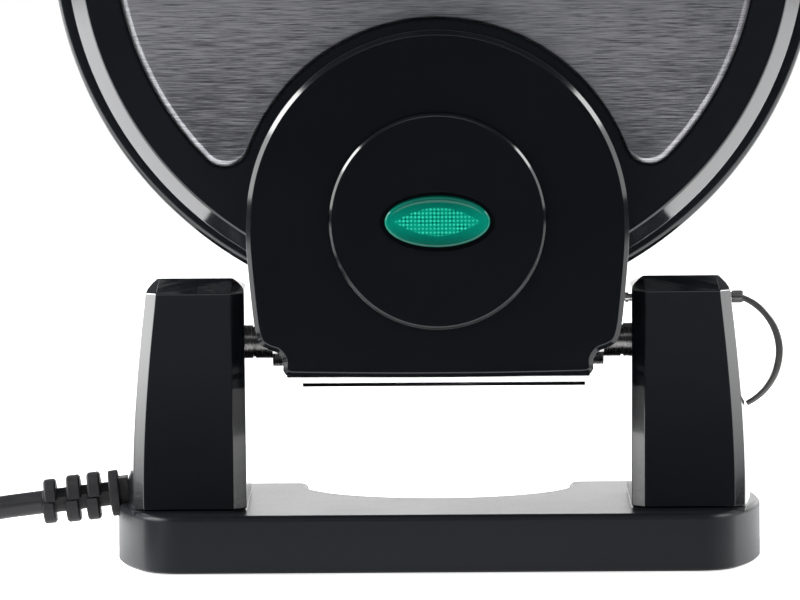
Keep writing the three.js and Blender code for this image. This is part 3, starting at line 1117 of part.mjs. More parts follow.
function coilPoint(turns) {
  const layer = Math.min(Math.floor(turns / COIL_TURNS_PER_LAYER), COIL_LAYERS - 1);
  const within = turns - layer * COIL_TURNS_PER_LAYER;
  const inward = layer % 2 ? COIL_TURNS_PER_LAYER - within : within;
  const radius = coilOuter - COIL_PITCH * inward;
  let climb = 0;
  for (let k = 1; k < COIL_LAYERS; k += 1) {
    const share = THREE.MathUtils.clamp((turns - k * COIL_TURNS_PER_LAYER) * 2 + 1 / 2, 0, 1);
    climb += share * share * (3 - 2 * share) * COIL_LAYER_PITCH;
  }
  const angle = Math.PI / 2 + turns * Math.PI * 2;
  return new THREE.Vector3(COIL_X + radius * Math.cos(angle), COIL_Y + radius * Math.sin(angle),
    cordZ + climb);
}

function coilLine() {
  const line = [];
  const count = coilTurns * COIL_STEPS;
  const start = coilPoint(0);
  const end = coilPoint(coilTurns);
  const straight = CORD_RADIUS * 2;
  line.push(new THREE.Vector3(start.x + straight, start.y, start.z));
  for (let i = 0; i <= count; i += 1) {
    line.push(coilPoint((i / count) * coilTurns));
  }
  line.push(new THREE.Vector3(end.x - straight, end.y, end.z));
  return line;
}

// A round section swept along points, kept upright, with flat ends
function sweptTube(line, radius, sides) {
  const up = new THREE.Vector3(0, 0, 1);
  const rings = line.map((point, i) => {
    const before = line[Math.max(i - 1, 0)];
    const after = line[Math.min(i + 1, line.length - 1)];
    const ahead = i === 0 || i === line.length - 1
      ? new THREE.Vector3(-1, 0, 0) : after.clone().sub(before).normalize();
    const across = ahead.clone().cross(up).normalize();
    const over = across.clone().cross(ahead);
    const ring = [];
    for (let k = 0; k < sides; k += 1) {
      const angle = ((k + 1 / 2) / sides) * Math.PI * 2;
      const place = point.clone().addScaledVector(across, radius * Math.cos(angle))
        .addScaledVector(over, radius * Math.sin(angle));
      ring.push([place.x, place.y, place.z]);
    }
    return ring.reverse();
  });
  return skinned(rings);
}

// Least gap between stretches of the coil that aren't neighbours along it
function leastGap(line, radius) {
  const apart = Math.ceil(COIL_STEPS / 3);
  let least = Infinity;
  for (let i = 0; i < line.length; i += 1) {
    for (let k = i + apart; k + 1 < line.length; k += 1) {
      const nearest = new THREE.Line3(line[k], line[k + 1]).closestPointToPoint(line[i], true,
        new THREE.Vector3());
      least = Math.min(least, nearest.distanceTo(line[i]) - radius * 2);
    }
  }
  return least;
}
const coil = coilLine();
console.log(`cord_coil least gap to itself ${leastGap(coil, CORD_RADIUS).toFixed(2)} mm`);
add(part, 'cord_coil', sweptTube(coil, CORD_RADIUS, COIL_SIDES), CORD);

// Plug: its neck takes the end of the coil, and it leans up so that its body clears the table
const plug = new THREE.Group();
const coilEnd = coil[coil.length - 1];
const plugTilt = THREE.MathUtils.degToRad(PLUG_TILT_DEGREES);
const neckStandOff = STATIC_GAP + PLUG_NECK_RADIUS * PLUG_NECK_SHARE * Math.sin(plugTilt);
plug.position.set(coilEnd.x - neckStandOff, coilEnd.y, coilEnd.z);
plug.rotation.y = Math.PI + plugTilt;
part.add(plug);
const plugEnd = PLUG_NECK_LENGTH + PLUG_LENGTH;
const plugProfile = [[0, 0], [PLUG_NECK_RADIUS * PLUG_NECK_SHARE, 0], [PLUG_NECK_RADIUS, PLUG_NECK_LENGTH],
  [PLUG_RADIUS * PLUG_REAR_SHARE, PLUG_NECK_LENGTH + PLUG_EDGE],
  [PLUG_RADIUS, PLUG_NECK_LENGTH + PLUG_EDGE * 3], [PLUG_RADIUS, plugEnd - PLUG_EDGE],
  [PLUG_RADIUS - PLUG_EDGE, plugEnd], [0, plugEnd]];
add(plug, 'plug_body', turnedX(plugProfile, 0, 0, SMALL_SIDES * 2), RUBBER);
[-1, 1].forEach((side, i) => {
  const low = plugEnd + STATIC_GAP;
  const pin = rodX(low, low + PLUG_PIN_LENGTH, side * PLUG_PIN_HALF_SPACING, 0, PLUG_PIN_RADIUS, SMALL_SIDES);
  add(plug, `plug_pin_${i + 1}`, pin, BRASS);
});

export default part;
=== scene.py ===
"""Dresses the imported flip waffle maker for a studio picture: finer meshes, finishes, lights and camera.

Everything is built in millimetres in the CAD model's own frame and set in the scene in metres.
"""

import logging
import math
from dataclasses import dataclass
from enum import Enum
from typing import Callable, Iterable, Sequence, Union

import bmesh
import bpy
from mathutils import Matrix, Vector


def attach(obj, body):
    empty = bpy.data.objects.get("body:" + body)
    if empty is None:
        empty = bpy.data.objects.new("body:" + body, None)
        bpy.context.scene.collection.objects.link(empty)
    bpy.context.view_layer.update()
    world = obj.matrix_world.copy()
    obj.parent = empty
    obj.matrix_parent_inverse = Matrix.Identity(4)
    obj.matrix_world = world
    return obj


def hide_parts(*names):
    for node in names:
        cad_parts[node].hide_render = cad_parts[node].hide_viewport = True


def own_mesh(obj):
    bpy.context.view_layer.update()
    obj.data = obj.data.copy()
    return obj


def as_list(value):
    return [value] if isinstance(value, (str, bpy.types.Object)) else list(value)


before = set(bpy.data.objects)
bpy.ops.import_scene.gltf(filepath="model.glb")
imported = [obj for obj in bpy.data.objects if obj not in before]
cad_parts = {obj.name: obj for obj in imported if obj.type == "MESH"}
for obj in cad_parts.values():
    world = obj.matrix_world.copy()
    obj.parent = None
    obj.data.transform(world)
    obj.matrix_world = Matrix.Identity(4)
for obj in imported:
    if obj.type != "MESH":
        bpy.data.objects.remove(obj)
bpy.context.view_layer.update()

log = logging.getLogger("waffle_maker")

MM = 0.001
FLIP_AXIS_Z = 65.2
PIN_RISE = 12.6
LEAD_Y = 2.0
LEAD_Z = 20.4
ARCH_RISE = 38.4
WINDOW_POWER = 1.9
STATIC_GAP = 0.3
OVERRUN = 1.0
MERGE_GAP = 1e-4
EDGE_SHARE = 0.49
LEAST_TURN = 0.35
TINY_SIDES = 32
SMALL_SIDES = 40
BAR_SIDES = 64
PLATE_SIDES = 128
DISC_SIDES = 160
RIM_SIDES = 200

Point = tuple[float, float, float]
Flat = tuple[float, float]
Row = tuple[float, float, float, float]
Ring = list[Point]


# Shapes

class Plane(Enum):
    """The plane that an outline is drawn in, and the way that it is given thickness."""

    FRONT = "x and z, thickness toward the front"
    PLAN = "x and y, thickness upward"
    SIDE = "y and z, thickness to the right"

    def place(self, across: float, along: float, out: float) -> Point:
        """Sets a point of an outline in space.

        Args:
            across: The outline's first coordinate.
            along: The outline's second coordinate.
            out: The distance through the thickness.

        Returns:
            The point in the part's axes.
        """
        if self is Plane.FRONT:
            return (across, -out, along)
        if self is Plane.PLAN:
            return (across, along, out)
        return (out, across, along)


class Side(Enum):
    """The two halves of the iron."""

    NEAR = "near"
    FAR = "far"

    @property
    def matrix(self) -> Matrix:
        """The move from a half's own frame, on the flip axis and outward to the front, to the part's."""
        turn = Matrix.Rotation(math.pi if self is Side.FAR else 0.0, 4, "Z")
        return Matrix.Translation((0.0, 0.0, FLIP_AXIS_Z)) @ turn


def lerp(low: float, high: float, share: float) -> float:
    """Returns the value a share of the way from low to high."""
    return low + (high - low) * share


def arc(centre: Flat, radius: float, start: float, end: float, steps: int) -> list[Flat]:
    """Points along part of a circle.

    Args:
        centre: The circle's centre.
        radius: Its radius.
        start: The first angle in radians.
        end: The last angle in radians.
        steps: The number of equal steps between them.

    Returns:
        One more point than there are steps.
    """
    angles = [lerp(start, end, i / steps) for i in range(steps + 1)]
    return [(centre[0] + radius * math.cos(a), centre[1] + radius * math.sin(a)) for a in angles]


def bend(start: Flat, pull: Flat, end: Flat, steps: int) -> list[Flat]:
    """Points along a quadratic curve, without its first one.

    Args:
        start: Where the curve begins.
        pull: The point that it bends toward.
        end: Where it ends.
        steps: The number of points.

    Returns:
        The points, ending with the last one.
    """
    shares = [(i + 1) / steps for i in range(steps)]
    return [tuple((1 - s) ** 2 * start[k] + 2 * s * (1 - s) * pull[k] + s * s * end[k] for k in (0, 1))
            for s in shares]


def eased(points: Sequence[Flat], radii: Sequence[float], steps: int = 4, closed: bool = False) -> list[Flat]:
    """Rounds the corners of a line of points.

    Args:
        points: The corners.
        radii: A radius for each corner, and 0 where it stays sharp.
        steps: The steps in each rounding.
        closed: Whether the line meets its own start.

    Returns:
        The line with its corners replaced by arcs.
    """
    line: list[Flat] = []
    count = len(points)
    for i, (corner, radius) in enumerate(zip(points, radii)):
        if radius <= 0 or (not closed and i in (0, count - 1)):
            line.append(corner)
            continue
        here = Vector(corner)
        back = Vector(points[i - 1]) - here
        ahead = Vector(points[(i + 1) % count]) - here
        half = back.angle(ahead) / 2
        reach = min(radius / math.tan(half), back.length * EDGE_SHARE, ahead.length * EDGE_SHARE)
        start = here + back.normalized() * reach
        end = here + ahead.normalized() * reach
        line.append(tuple(start))
        line.extend(bend(tuple(start), corner, tuple(end), steps))
    return line


def quarter_round(top: float, radius: float, steps: int = 6) -> list[Flat]:
    """Sections of an edge that rounds over to a flat top.

    Args:
        top: The flat top's distance.
        radius: The rounding's radius.
        steps: The steps in it.

    Returns:
        Pairs of distance and inset, from the wall to the top.
    """
    angles = [math.pi / 2 * i / steps for i in range(steps + 1)]
    return [(top - radius * (1 - math.sin(a)), radius * (1 - math.cos(a))) for a in angles]


def chamfered(top: float, size: float, ease: float = 0.08, reach: float = 0.3) -> list[Flat]:
    """Sections of a chamfered edge with its two corners eased.

    Args:
        top: The flat top's distance.
        size: The chamfer's size.
        ease: Half of the length that is eased at each corner.
        reach: How far the first and last sections stand off.

    Returns:
        Pairs of distance and inset, from the wall to the top.
    """
    foot = top - size
    return [(foot - reach, 0.0), (foot - ease, ease / 2), (foot + ease, ease * 2),
            (top - ease * 2, size - ease), (top - ease / 2, size + ease), (top, size + reach)]


def rectangle(centre: Flat, half: Flat, radius: float, steps: int) -> list[Flat]:
    """A rectangle with rounded corners, anticlockwise.

    Args:
        centre: Its middle.
        half: Half of its width and height.
        radius: The corners' radius.
        steps: The steps in each corner.

    Returns:
        Its outline.
    """
    (a, b), (wide, high) = centre, half
    return eased([(a - wide, b - high), (a + wide, b - high), (a + wide, b + high), (a - wide, b + high)],
                 [radius] * 4, steps, True)


def spline(points: Sequence[Sequence[float]], steps: int) -> list[tuple[float, ...]]:
    """A smooth curve through points.

    Args:
        points: The points, in two or three dimensions.
        steps: The steps between each pair of them.

    Returns:
        The curve's points, the given ones among them.
    """
    line = [tuple(points[0])]
    last = len(points) - 1
    for i in range(last):
        p0, p1, p2, p3 = (Vector(points[k]) for k in (max(i - 1, 0), i, i + 1, min(i + 2, last)))
        for k in range(1, steps + 1):
            s = k / steps
            line.append(tuple(0.5 * (2 * p1 + (p2 - p0) * s + (2 * p0 - 5 * p1 + 4 * p2 - p3) * s * s
                                     + (3 * p1 - p0 - 3 * p2 + p3) * s ** 3)))
    return line


def drawn_in(outline: Sequence[Flat], inset: float) -> list[Flat]:
    """Moves a closed outline inward.

    Args:
        outline: The points, in anticlockwise order.
        inset: How far each edge moves in.

    Returns:
        As many points as the outline has.
    """
    if not inset:
        return list(outline)
    moved = []
    count = len(outline)
    for i, point in enumerate(outline):
        before = (Vector(point) - Vector(outline[i - 1])).normalized()
        after = (Vector(outline[(i + 1) % count]) - Vector(point)).normalized()
        way = (before + after).normalized()
        inward = Vector((-way.y, way.x))
        stretch = max(way.dot(before), LEAST_TURN)
        moved.append(tuple(Vector(point) + inward * inset / stretch))
    return moved


class Solid:
    """A closed mesh in millimetres, cut and joined before it becomes a piece of the scene."""

    def __init__(self, places: Sequence[Point], faces: Sequence[Sequence[int]]) -> None:
        """Makes the mesh from points and faces, merging the points that fall together."""
        mesh = bpy.data.meshes.new("draft")
        mesh.from_pydata([tuple(p) for p in places], [], [tuple(f) for f in faces])
        work = bmesh.new()
        work.from_mesh(mesh)
        bmesh.ops.remove_doubles(work, verts=work.verts, dist=MERGE_GAP)
        bmesh.ops.recalc_face_normals(work, faces=work.faces)
        work.to_mesh(mesh)
        work.free()
        self.thing = bpy.data.objects.new("draft", mesh)
        bpy.context.scene.collection.objects.link(self.thing)

    @classmethod
    def skinned(cls, rings: Sequence[Ring], ring_shut: bool = False) -> "Solid":
        """Skins rings of equally many points.

        Args:
            rings: The rings in order.
            ring_shut: Whether the last ring joins the first, so that there are no ends.

        Returns:
            The solid, with flat ends unless it is shut.
        """
        size = len(rings[0])
        places = [point for ring in rings for point in ring]
        pairs = [(k, (k + 1) % len(rings)) for k in range(len(rings) - (0 if ring_shut else 1))]
        faces = [(a * size + i, a * size + (i + 1) % size, b * size + (i + 1) % size, b * size + i)
                 for a, b in pairs for i in range(size)]
        if not ring_shut:
            last = (len(rings) - 1) * size
            faces += [tuple(range(size)), tuple(last + i for i in range(size))]
        return cls(places, faces)

    @classmethod
    def slab(cls, outline: Sequence[Flat], sections: Sequence[Flat], plane: Plane) -> "Solid":
        """Gives an outline thickness, with its edges shaped by sections.

        Args:
            outline: The closed outline, anticlockwise.
            sections: Pairs of distance through the thickness and inset.
            plane: The plane of the outline.

        Returns:
            The solid.
        """
        rings = [[plane.place(a, b, out) for a, b in drawn_in(outline, inset)] for out, inset in sections]
        return cls.skinned(rings)

    @classmethod
    def turned(cls, profile: Sequence[Flat], place: Callable[[float, float, float], Point],
               sides: int = 96, shut: bool = False) -> "Solid":
        """Turns a profile of radius and height about an axis.

        Args:
            profile: The profile's points.
            place: Sets two coordinates round the axis and a height in space.
            sides: The number of sides of the circle.
            shut: Whether the profile is a closed loop clear of the axis.

        Returns:
            The solid.
        """
        angles = [2 * math.pi * i / sides for i in range(sides)]
        rings = [[place(r * math.cos(a), r * math.sin(a), h) for a in angles] for r, h in profile]
        return cls.skinned(rings, shut)

    @classmethod
    def swept(cls, path: Sequence[Point], section: Sequence[Flat], shares: Sequence[float] = ()) -> "Solid":
        """Carries a section along a path without twisting it.

        Args:
            path: The points of the path.
            section: The section's points, across and up.
            shares: The section's size at each point of the path, where it changes.

        Returns:
            The solid, with flat ends.
        """
        line = [Vector(p) for p in path]
        rings: list[Ring] = []
        up = Vector((0.0, 0.0, 1.0))
        for i, point in enumerate(line):
            ahead = (line[min(i + 1, len(line) - 1)] - line[max(i - 1, 0)]).normalized()
            if i == 0 and abs(ahead.dot(up)) > 0.99:
                up = Vector((0.0, 1.0, 0.0))
            across = ahead.cross(up).normalized()
            up = across.cross(ahead).normalized()
            size = shares[i] if shares else 1.0
            rings.append([tuple(point + across * a * size + up * b * size) for a, b in section])
        return cls.skinned(rings)

    def _baked(self, kind: str, **settings: object) -> "Solid":
        """Adds a modifier, takes its result as the mesh and removes it."""
        modifier = self.thing.modifiers.new(kind.lower(), kind)
        for name, value in settings.items():
            setattr(modifier, name, value)
        bpy.context.view_layer.update()
        graph = bpy.context.evaluated_depsgraph_get()
        fresh = bpy.data.meshes.new_from_object(self.thing.evaluated_get(graph))
        self.thing.modifiers.clear()
        old = self.thing.data
        self.thing.data = fresh
        bpy.data.meshes.remove(old)
        return self

    def _with(self, operation: str, tools: Iterable["Solid"]) -> "Solid":
        """Runs one boolean for each tool, and removes the tools."""
        for tool in tools:
            self._baked("BOOLEAN", operation=operation, solver="EXACT", object=tool.thing)
            tool.drop()
        return self

    def cut(self, *tools: "Solid") -> "Solid":
        """Returns the solid less the tools, which are used up."""
        return self._with("DIFFERENCE", tools)

    def join(self, *tools: "Solid") -> "Solid":
        """Returns the solid with the tools added, which are used up."""
        return self._with("UNION", tools)

    def rounded(self, width: float, steps: int = 3, degrees: float = 30.0) -> "Solid":
        """Rounds the edges that are sharper than an angle.

        Args:
            width: The rounding's width in millimetres.
            steps: The steps across it.
            degrees: The least angle between faces that is rounded.

        Returns:
            The solid itself.
        """
        return self._baked("BEVEL", width=width, segments=steps, limit_method="ANGLE",
                           angle_limit=math.radians(degrees), profile=0.5, use_clamp_overlap=True)

    def moved(self, matrix: Matrix) -> "Solid":
        """Returns the solid after a move."""
        self.thing.data.transform(matrix)
        return self

    def shifted(self, way: Point) -> "Solid":
        """Returns the solid after a shift."""
        return self.moved(Matrix.Translation(way))

    def drop(self) -> None:
        """Removes the solid from the scene."""
        mesh = self.thing.data
        bpy.data.objects.remove(self.thing)
        bpy.data.meshes.remove(mesh)

    def piece(self, name: str, body: str, finish: "Finish", *nodes: str,
              crease: float = 32.0) -> bpy.types.Object:
        """Sets the solid in the scene as a finished piece.

        Args:
            name: The piece's name.
            body: The CAD body that it moves with.
            finish: Its finish, which knows the record's material slot.
            nodes: The CAD nodes that it stands for.
            crease: The angle in degrees above which an edge stays sharp.

        Returns:
            The piece.
        """
        thing, slot = self.thing, finish.slot
        thing.name = name
        thing.data.name = name
        thing.data.transform(Matrix.Scale(MM, 4))
        thing.data.materials.clear()
        thing.data.materials.append(finish.material())
        thing.data.polygons.foreach_set("use_smooth", [True] * len(thing.data.polygons))
        thing.data.set_sharp_from_angle(angle=math.radians(crease))
        self._baked("WEIGHTED_NORMAL", keep_sharp=True, weight=60)
        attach(thing, body)
        if nodes:
            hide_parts(*nodes)
        log.info("%s: %d faces on %s", name, len(thing.data.polygons), body)
        return thing


def along_x(u: float, v: float, h: float) -> Point:
    """Turns about the flip axis, with the height to the right."""
    return (h, u, v)


def along_z(u: float, v: float, h: float) -> Point:
    """Turns about an upright axis."""
    return (u, v, h)


def outward(u: float, v: float, h: float) -> Point:
    """Turns about a line to the front, with the height outward."""
    return (u, -h, v)


def rod(low: float, high: float, radius: float, shift: Point = (0.0, 0.0, 0.0), sides: int = 48,
        place: Callable[[float, float, float], Point] = along_x) -> Solid:
    """A plain round bar, to cut with or to join on.

    Args:
        low: The height where it starts.
        high: The height where it ends.
        radius: Its radius.
        shift: Where the axis passes.
        sides: The number of sides.
        place: The axis that it lies along.

    Returns:
        The solid.
    """
    profile = [(0.0, low), (radius, low), (radius, high), (0.0, high)]
    return Solid.turned(profile, place, sides).shifted(shift)


def block(low: Point, high: Point) -> Solid:
    """A plain box between two corners, to cut with or to join on."""
    outline = [(low[0], low[1]), (high[0], low[1]), (high[0], high[1]), (low[0], high[1])]
    return Solid.slab(outline, [(low[2], 0.0), (high[2], 0.0)], Plane.PLAN)


# Finishes

Value = Union["Wire", float, int]


class Wire:
    """An output socket whose arithmetic adds Math nodes."""

    def __init__(self, tree: "Tree", socket: bpy.types.NodeSocket) -> None:
        """Keeps the tree and the socket."""
        self.tree = tree
        self.socket = socket

    def math(self, operation: str, *others: Value) -> "Wire":
        """Returns the result of a Math node that takes this value first."""
        return self.tree.calc(operation, self, *others)

    def __add__(self, other: Value) -> "Wire":
        """Returns self + other."""
        return self.math("ADD", other)

    __radd__ = __add__

    def __sub__(self, other: Value) -> "Wire":
        """Returns self - other."""
        return self.math("SUBTRACT", other)

    def __rsub__(self, other: Value) -> "Wire":
        """Returns other - self."""
        return self.tree.calc("SUBTRACT", other, self)

    def __mul__(self, other: Value) -> "Wire":
        """Returns self * other."""
        return self.math("MULTIPLY", other)

    __rmul__ = __mul__

    def __truediv__(self, other: Value) -> "Wire":
        """Returns self / other."""
        return self.math("DIVIDE", other)

    def __pow__(self, other: Value) -> "Wire":
        """Returns self raised to other."""
        return self.math("POWER", other)

    def between(self, low: float, high: float) -> "Wire":
        """Returns 0 below low and 1 above high, with a smooth rise between them."""
        return self.tree.node("ShaderNodeMapRange", {"interpolation_type": "SMOOTHSTEP"},
                              {"Value": self, "From Min": low, "From Max": high}, "Result")


class Tree:
    """The node tree of one material or world."""

    def __init__(self, owner: Union[bpy.types.Material, bpy.types.World]) -> None:
        """Starts a tree with no nodes."""
        self.owner = owner
        self.owner.use_nodes = True
        self.nodes = self.owner.node_tree.nodes
        self.nodes.clear()

    def node(self, kind: str, settings: dict[str, object], sockets: dict[object, object],
             output: Union[str, int] = 0) -> Wire:
        """Adds a node.

        Args:
            kind: The node's type.
            settings: Its own settings, set before its sockets; a ramp's stops are under "stops".
            sockets: Values or links of its inputs, by name or number.
            output: The output that is wanted.

        Returns:
            The wanted output.
        """
        made = self.nodes.new(kind)
        for name, value in settings.items():
            if name == "stops":
                ramp = made.color_ramp
                while len(ramp.elements) < len(value):
                    ramp.elements.new(1.0)
                for element, (place, colour) in zip(ramp.elements, value):
                    element.position = place
                    element.color = (*colour, 1.0)
            else:
                setattr(made, name, value)
        for name, value in sockets.items():
            self.feed(made.inputs[name], value)
        return Wire(self, made.outputs[output])

    def feed(self, socket: bpy.types.NodeSocket, value: object) -> None:
        """Links a wire to an input, or sets the input's own value."""
        if isinstance(value, Wire):
            self.owner.node_tree.links.new(value.socket, socket)
        elif isinstance(value, tuple) and socket.type == "RGBA" and len(value) == 3:
            socket.default_value = (*value, 1.0)
        else:
            socket.default_value = value

    def calc(self, operation: str, *values: Value) -> Wire:
        """Returns the result of a Math node."""
        return self.node("ShaderNodeMath", {"operation": operation}, dict(enumerate(values)))

    def place(self) -> Wire:
        """Returns the point's place in the piece's own frame, in metres."""
        return self.node("ShaderNodeTexCoord", {}, {}, "Object")

    def scaled(self, amounts: Point) -> Wire:
        """Returns the point's place, stretched along each axis."""
        return self.node("ShaderNodeMapping", {}, {"Vector": self.place(), "Scale": amounts})

    def axes(self) -> tuple[Wire, Wire, Wire]:
        """Returns the point's three coordinates, in metres."""
        split = self.node("ShaderNodeSeparateXYZ", {}, {"Vector": self.place()})
        outputs = split.socket.node.outputs
        return tuple(Wire(self, outputs[i]) for i in range(3))

    def noise(self, scale: float, detail: float = 2.0, stretch: Point = (1.0, 1.0, 1.0),
              roughness: float = 0.5) -> Wire:
        """Returns noise from 0 to 1.

        Args:
            scale: Its features per metre.
            detail: Its octaves.
            stretch: How much finer it is along each axis.
            roughness: How strong the finer octaves are.

        Returns:
            The noise's value.
        """
        return self.node("ShaderNodeTexNoise", {}, {"Vector": self.scaled(stretch), "Scale": scale,
                                                    "Detail": detail, "Roughness": roughness}, "Fac")

    def blend(self, share: Value, first: object, second: object) -> Wire:
        """Returns a mix of two colours."""
        return self.node("ShaderNodeMix", {"data_type": "RGBA"}, {0: share, 6: first, 7: second}, 2)

    def bump(self, height: Wire, depth: float, strength: float = 1.0) -> Wire:
        """Returns a normal bent by a height.

        Args:
            height: The height, from 0 to 1.
            depth: What 1 stands for, in metres.
            strength: How much of it shows.

        Returns:
            The normal.
        """
        return self.node("ShaderNodeBump", {}, {"Strength": strength, "Distance": depth, "Height": height})

    def surface(self, **sockets: object) -> bpy.types.Material:
        """Ends the tree with a surface.

        Args:
            sockets: The shader's inputs, with underscores for spaces.

        Returns:
            The material.
        """
        return self.finish(self.shader(**sockets))

    def shader(self, **sockets: object) -> Wire:
        """Returns a Principled shader with the given inputs, underscores standing for spaces."""
        named = {name.replace("_", " "): value for name, value in sockets.items()}
        return self.node("ShaderNodeBsdfPrincipled", {}, named)

    def finish(self, shader: Wire, output: str = "ShaderNodeOutputMaterial") -> object:
        """Ends the tree with a shader and returns its owner."""
        self.owner.node_tree.links.new(shader.socket, self.nodes.new(output).inputs["Surface"])
        return self.owner


@dataclass(frozen=True)
class Finish:
    """A finish that makes its material once.

    Attributes:
        name: The finish's own name.
        part_slot: The record's material slot, where its name isn't the finish's.
    """

    name: str
    part_slot: str = ""

    @property
    def slot(self) -> str:
        """The record's material slot that the finish is for."""
        return self.part_slot or self.name

    def material(self) -> bpy.types.Material:
        """Returns the finish's material, made at its first use."""
        label = f"{self.name}_finish"
        made = bpy.data.materials.get(label)
        return made if made else self.make(Tree(bpy.data.materials.new(label)))

    def make(self, tree: Tree) -> bpy.types.Material:
        """Returns the material made in a tree. Each finish has its own."""
        raise NotImplementedError


@dataclass(frozen=True)
class GlossPlastic(Finish):
    """Polished moulded plastic: nearly black, with a faint ripple, dust and rubbed specks."""

    name: str = "gloss_black_plastic"
    part_slot: str = "gloss_black_plastic"
    dark: Point = (0.0026, 0.0031, 0.0041)
    pale: Point = (0.0044, 0.0052, 0.0066)
    polish: float = 0.10
    level: float = 0.42

    def make(self, tree: Tree) -> bpy.types.Material:
        """Returns the material made in a tree."""
        cloud = tree.noise(35.0, 3.0)
        speck = tree.noise(2600.0, 1.0).between(0.66, 0.76)
        ripple = tree.noise(260.0, 1.0)
        rough = self.polish + cloud * 0.05 + speck * 0.12
        return tree.surface(Base_Color=tree.blend(cloud, self.dark, self.pale), Roughness=rough,
                            Specular_IOR_Level=self.level, Normal=tree.bump(ripple, 2.2e-6))


@dataclass(frozen=True)
class TowerPlastic(Finish):
    """Polished moulded plastic that is duller and scuffed towards its foot, with painted shade that darkens its
    colour towards the foot.
    """

    name: str = "gloss_tower_plastic"
    part_slot: str = "gloss_black_plastic"
    dark: Point = (0.0022, 0.0026, 0.0036)
    pale: Point = (0.0052, 0.0060, 0.0076)
    foot_z: float = 0.020
    painted_light_and_coat_z: float = 0.072

    def make(self, tree: Tree) -> bpy.types.Material:
        """Returns the material made in a tree."""
        _, _, height = tree.axes()
        # Painted shade: lift darkens the colour from the top down to the foot, and the same rise thins the coat
        # there.
        lift = height.between(self.foot_z, self.painted_light_and_coat_z)
        grit = tree.noise(2100.0, 1.0)
        scuff = height.between(self.foot_z, self.foot_z + 0.022)
        worn = (1.0 - scuff) * grit.between(0.4, 0.6)
        cloud = tree.noise(35.0, 3.0)
        # The colour mix below carries the painted shade towards the foot.
        return tree.surface(Base_Color=tree.blend(lift * 0.7 + cloud * 0.3, self.dark, self.pale),
                            Roughness=0.11 + cloud * 0.04 + worn * 0.08, Specular_IOR_Level=0.27,
                            Coat_Weight=lift * 0.85 + 0.1, Coat_Roughness=0.05,
                            Normal=tree.bump(grit * (1.0 - scuff), 4e-6))


@dataclass(frozen=True)
class SatinPlastic(Finish):
    """Satin moulded plastic with a fine grain, as on the base."""

    name: str = "satin_black_plastic"
    dark: Point = (0.0034, 0.0040, 0.0054)
    pale: Point = (0.0064, 0.0073, 0.0092)
    polish: float = 0.30
    grain: float = 1.6e-5

    def make(self, tree: Tree) -> bpy.types.Material:
        """Returns the material made in a tree."""
        cloud = tree.noise(30.0, 3.0)
        grain = tree.noise(1350.0, 2.0)
        rough = self.polish + cloud * 0.06 + grain * 0.08
        return tree.surface(Base_Color=tree.blend(cloud * 0.5 + grain * 0.5, self.dark, self.pale),
                            Roughness=rough, Specular_IOR_Level=0.15, Normal=tree.bump(grain, self.grain))


@dataclass(frozen=True)
class BrushedSteel(Finish):
    """Stainless sheet brushed from side to side, with painted light that makes it paler towards the top."""

    name: str = "brushed_steel"
    dark: Point = (0.21, 0.212, 0.23)
    pale: Point = (0.57, 0.565, 0.585)
    painted_light_low_z: float = 0.11
    painted_light_high_z: float = 0.165

    def make(self, tree: Tree) -> bpy.types.Material:
        """Returns the material made in a tree."""
        fine = tree.noise(1.0, 3.0, (110.0, 110.0, 3300.0), 0.6)
        broad = tree.noise(1.0, 1.0, (40.0, 40.0, 900.0))
        cloud = tree.noise(16.0, 2.0)
        _, _, height = tree.axes()
        # Painted light: fall makes the steel paler towards the top and darker low down, in colour, roughness
        # and bump alike.
        fall = height.between(self.painted_light_low_z, self.painted_light_high_z) * 0.12
        streak = (fine * 0.8 + broad * 0.1 + cloud * 0.1 + fall - 0.07).between(0.34, 0.66)
        rough = 0.3 + streak * 0.1 + cloud * 0.06
        return tree.surface(Base_Color=tree.blend(streak, self.dark, self.pale), Roughness=rough, Metallic=1.0,
                            Normal=tree.bump(streak, 1.2e-5))


@dataclass(frozen=True)
class TurnedSteel(Finish):
    """Bright bar and wire, with fine tool marks round its length."""

    name: str = "bright_steel"
    part_slot: str = "bright_steel"
    dark: Point = (0.30, 0.29, 0.28)
    pale: Point = (0.62, 0.61, 0.60)

    def make(self, tree: Tree) -> bpy.types.Material:
        """Returns the material made in a tree."""
        marks = tree.noise(1.0, 2.0, (5200.0, 300.0, 300.0))
        cloud = tree.noise(240.0, 3.0)
        return tree.surface(Base_Color=tree.blend(cloud, self.dark, self.pale), Metallic=1.0,
                            Roughness=0.2 + marks * 0.14, Normal=tree.bump(marks, 6e-6))


@dataclass(frozen=True)
class CoatedCasting(Finish):
    """Cast aluminium with a dark non-stick coating and paler flecks."""

    name: str = "coated_aluminium"
    dark: Point = (0.022, 0.021, 0.021)
    pale: Point = (0.085, 0.083, 0.08)

    def make(self, tree: Tree) -> bpy.types.Material:
        """Returns the material made in a tree."""
        fleck = tree.noise(1700.0, 2.0).between(0.66, 0.72)
        cast = tree.noise(420.0, 4.0)
        return tree.surface(Base_Color=tree.blend(fleck, self.dark, self.pale),
                            Roughness=0.38 + cast * 0.16, Metallic=0.25, Normal=tree.bump(cast, 2.4e-5))


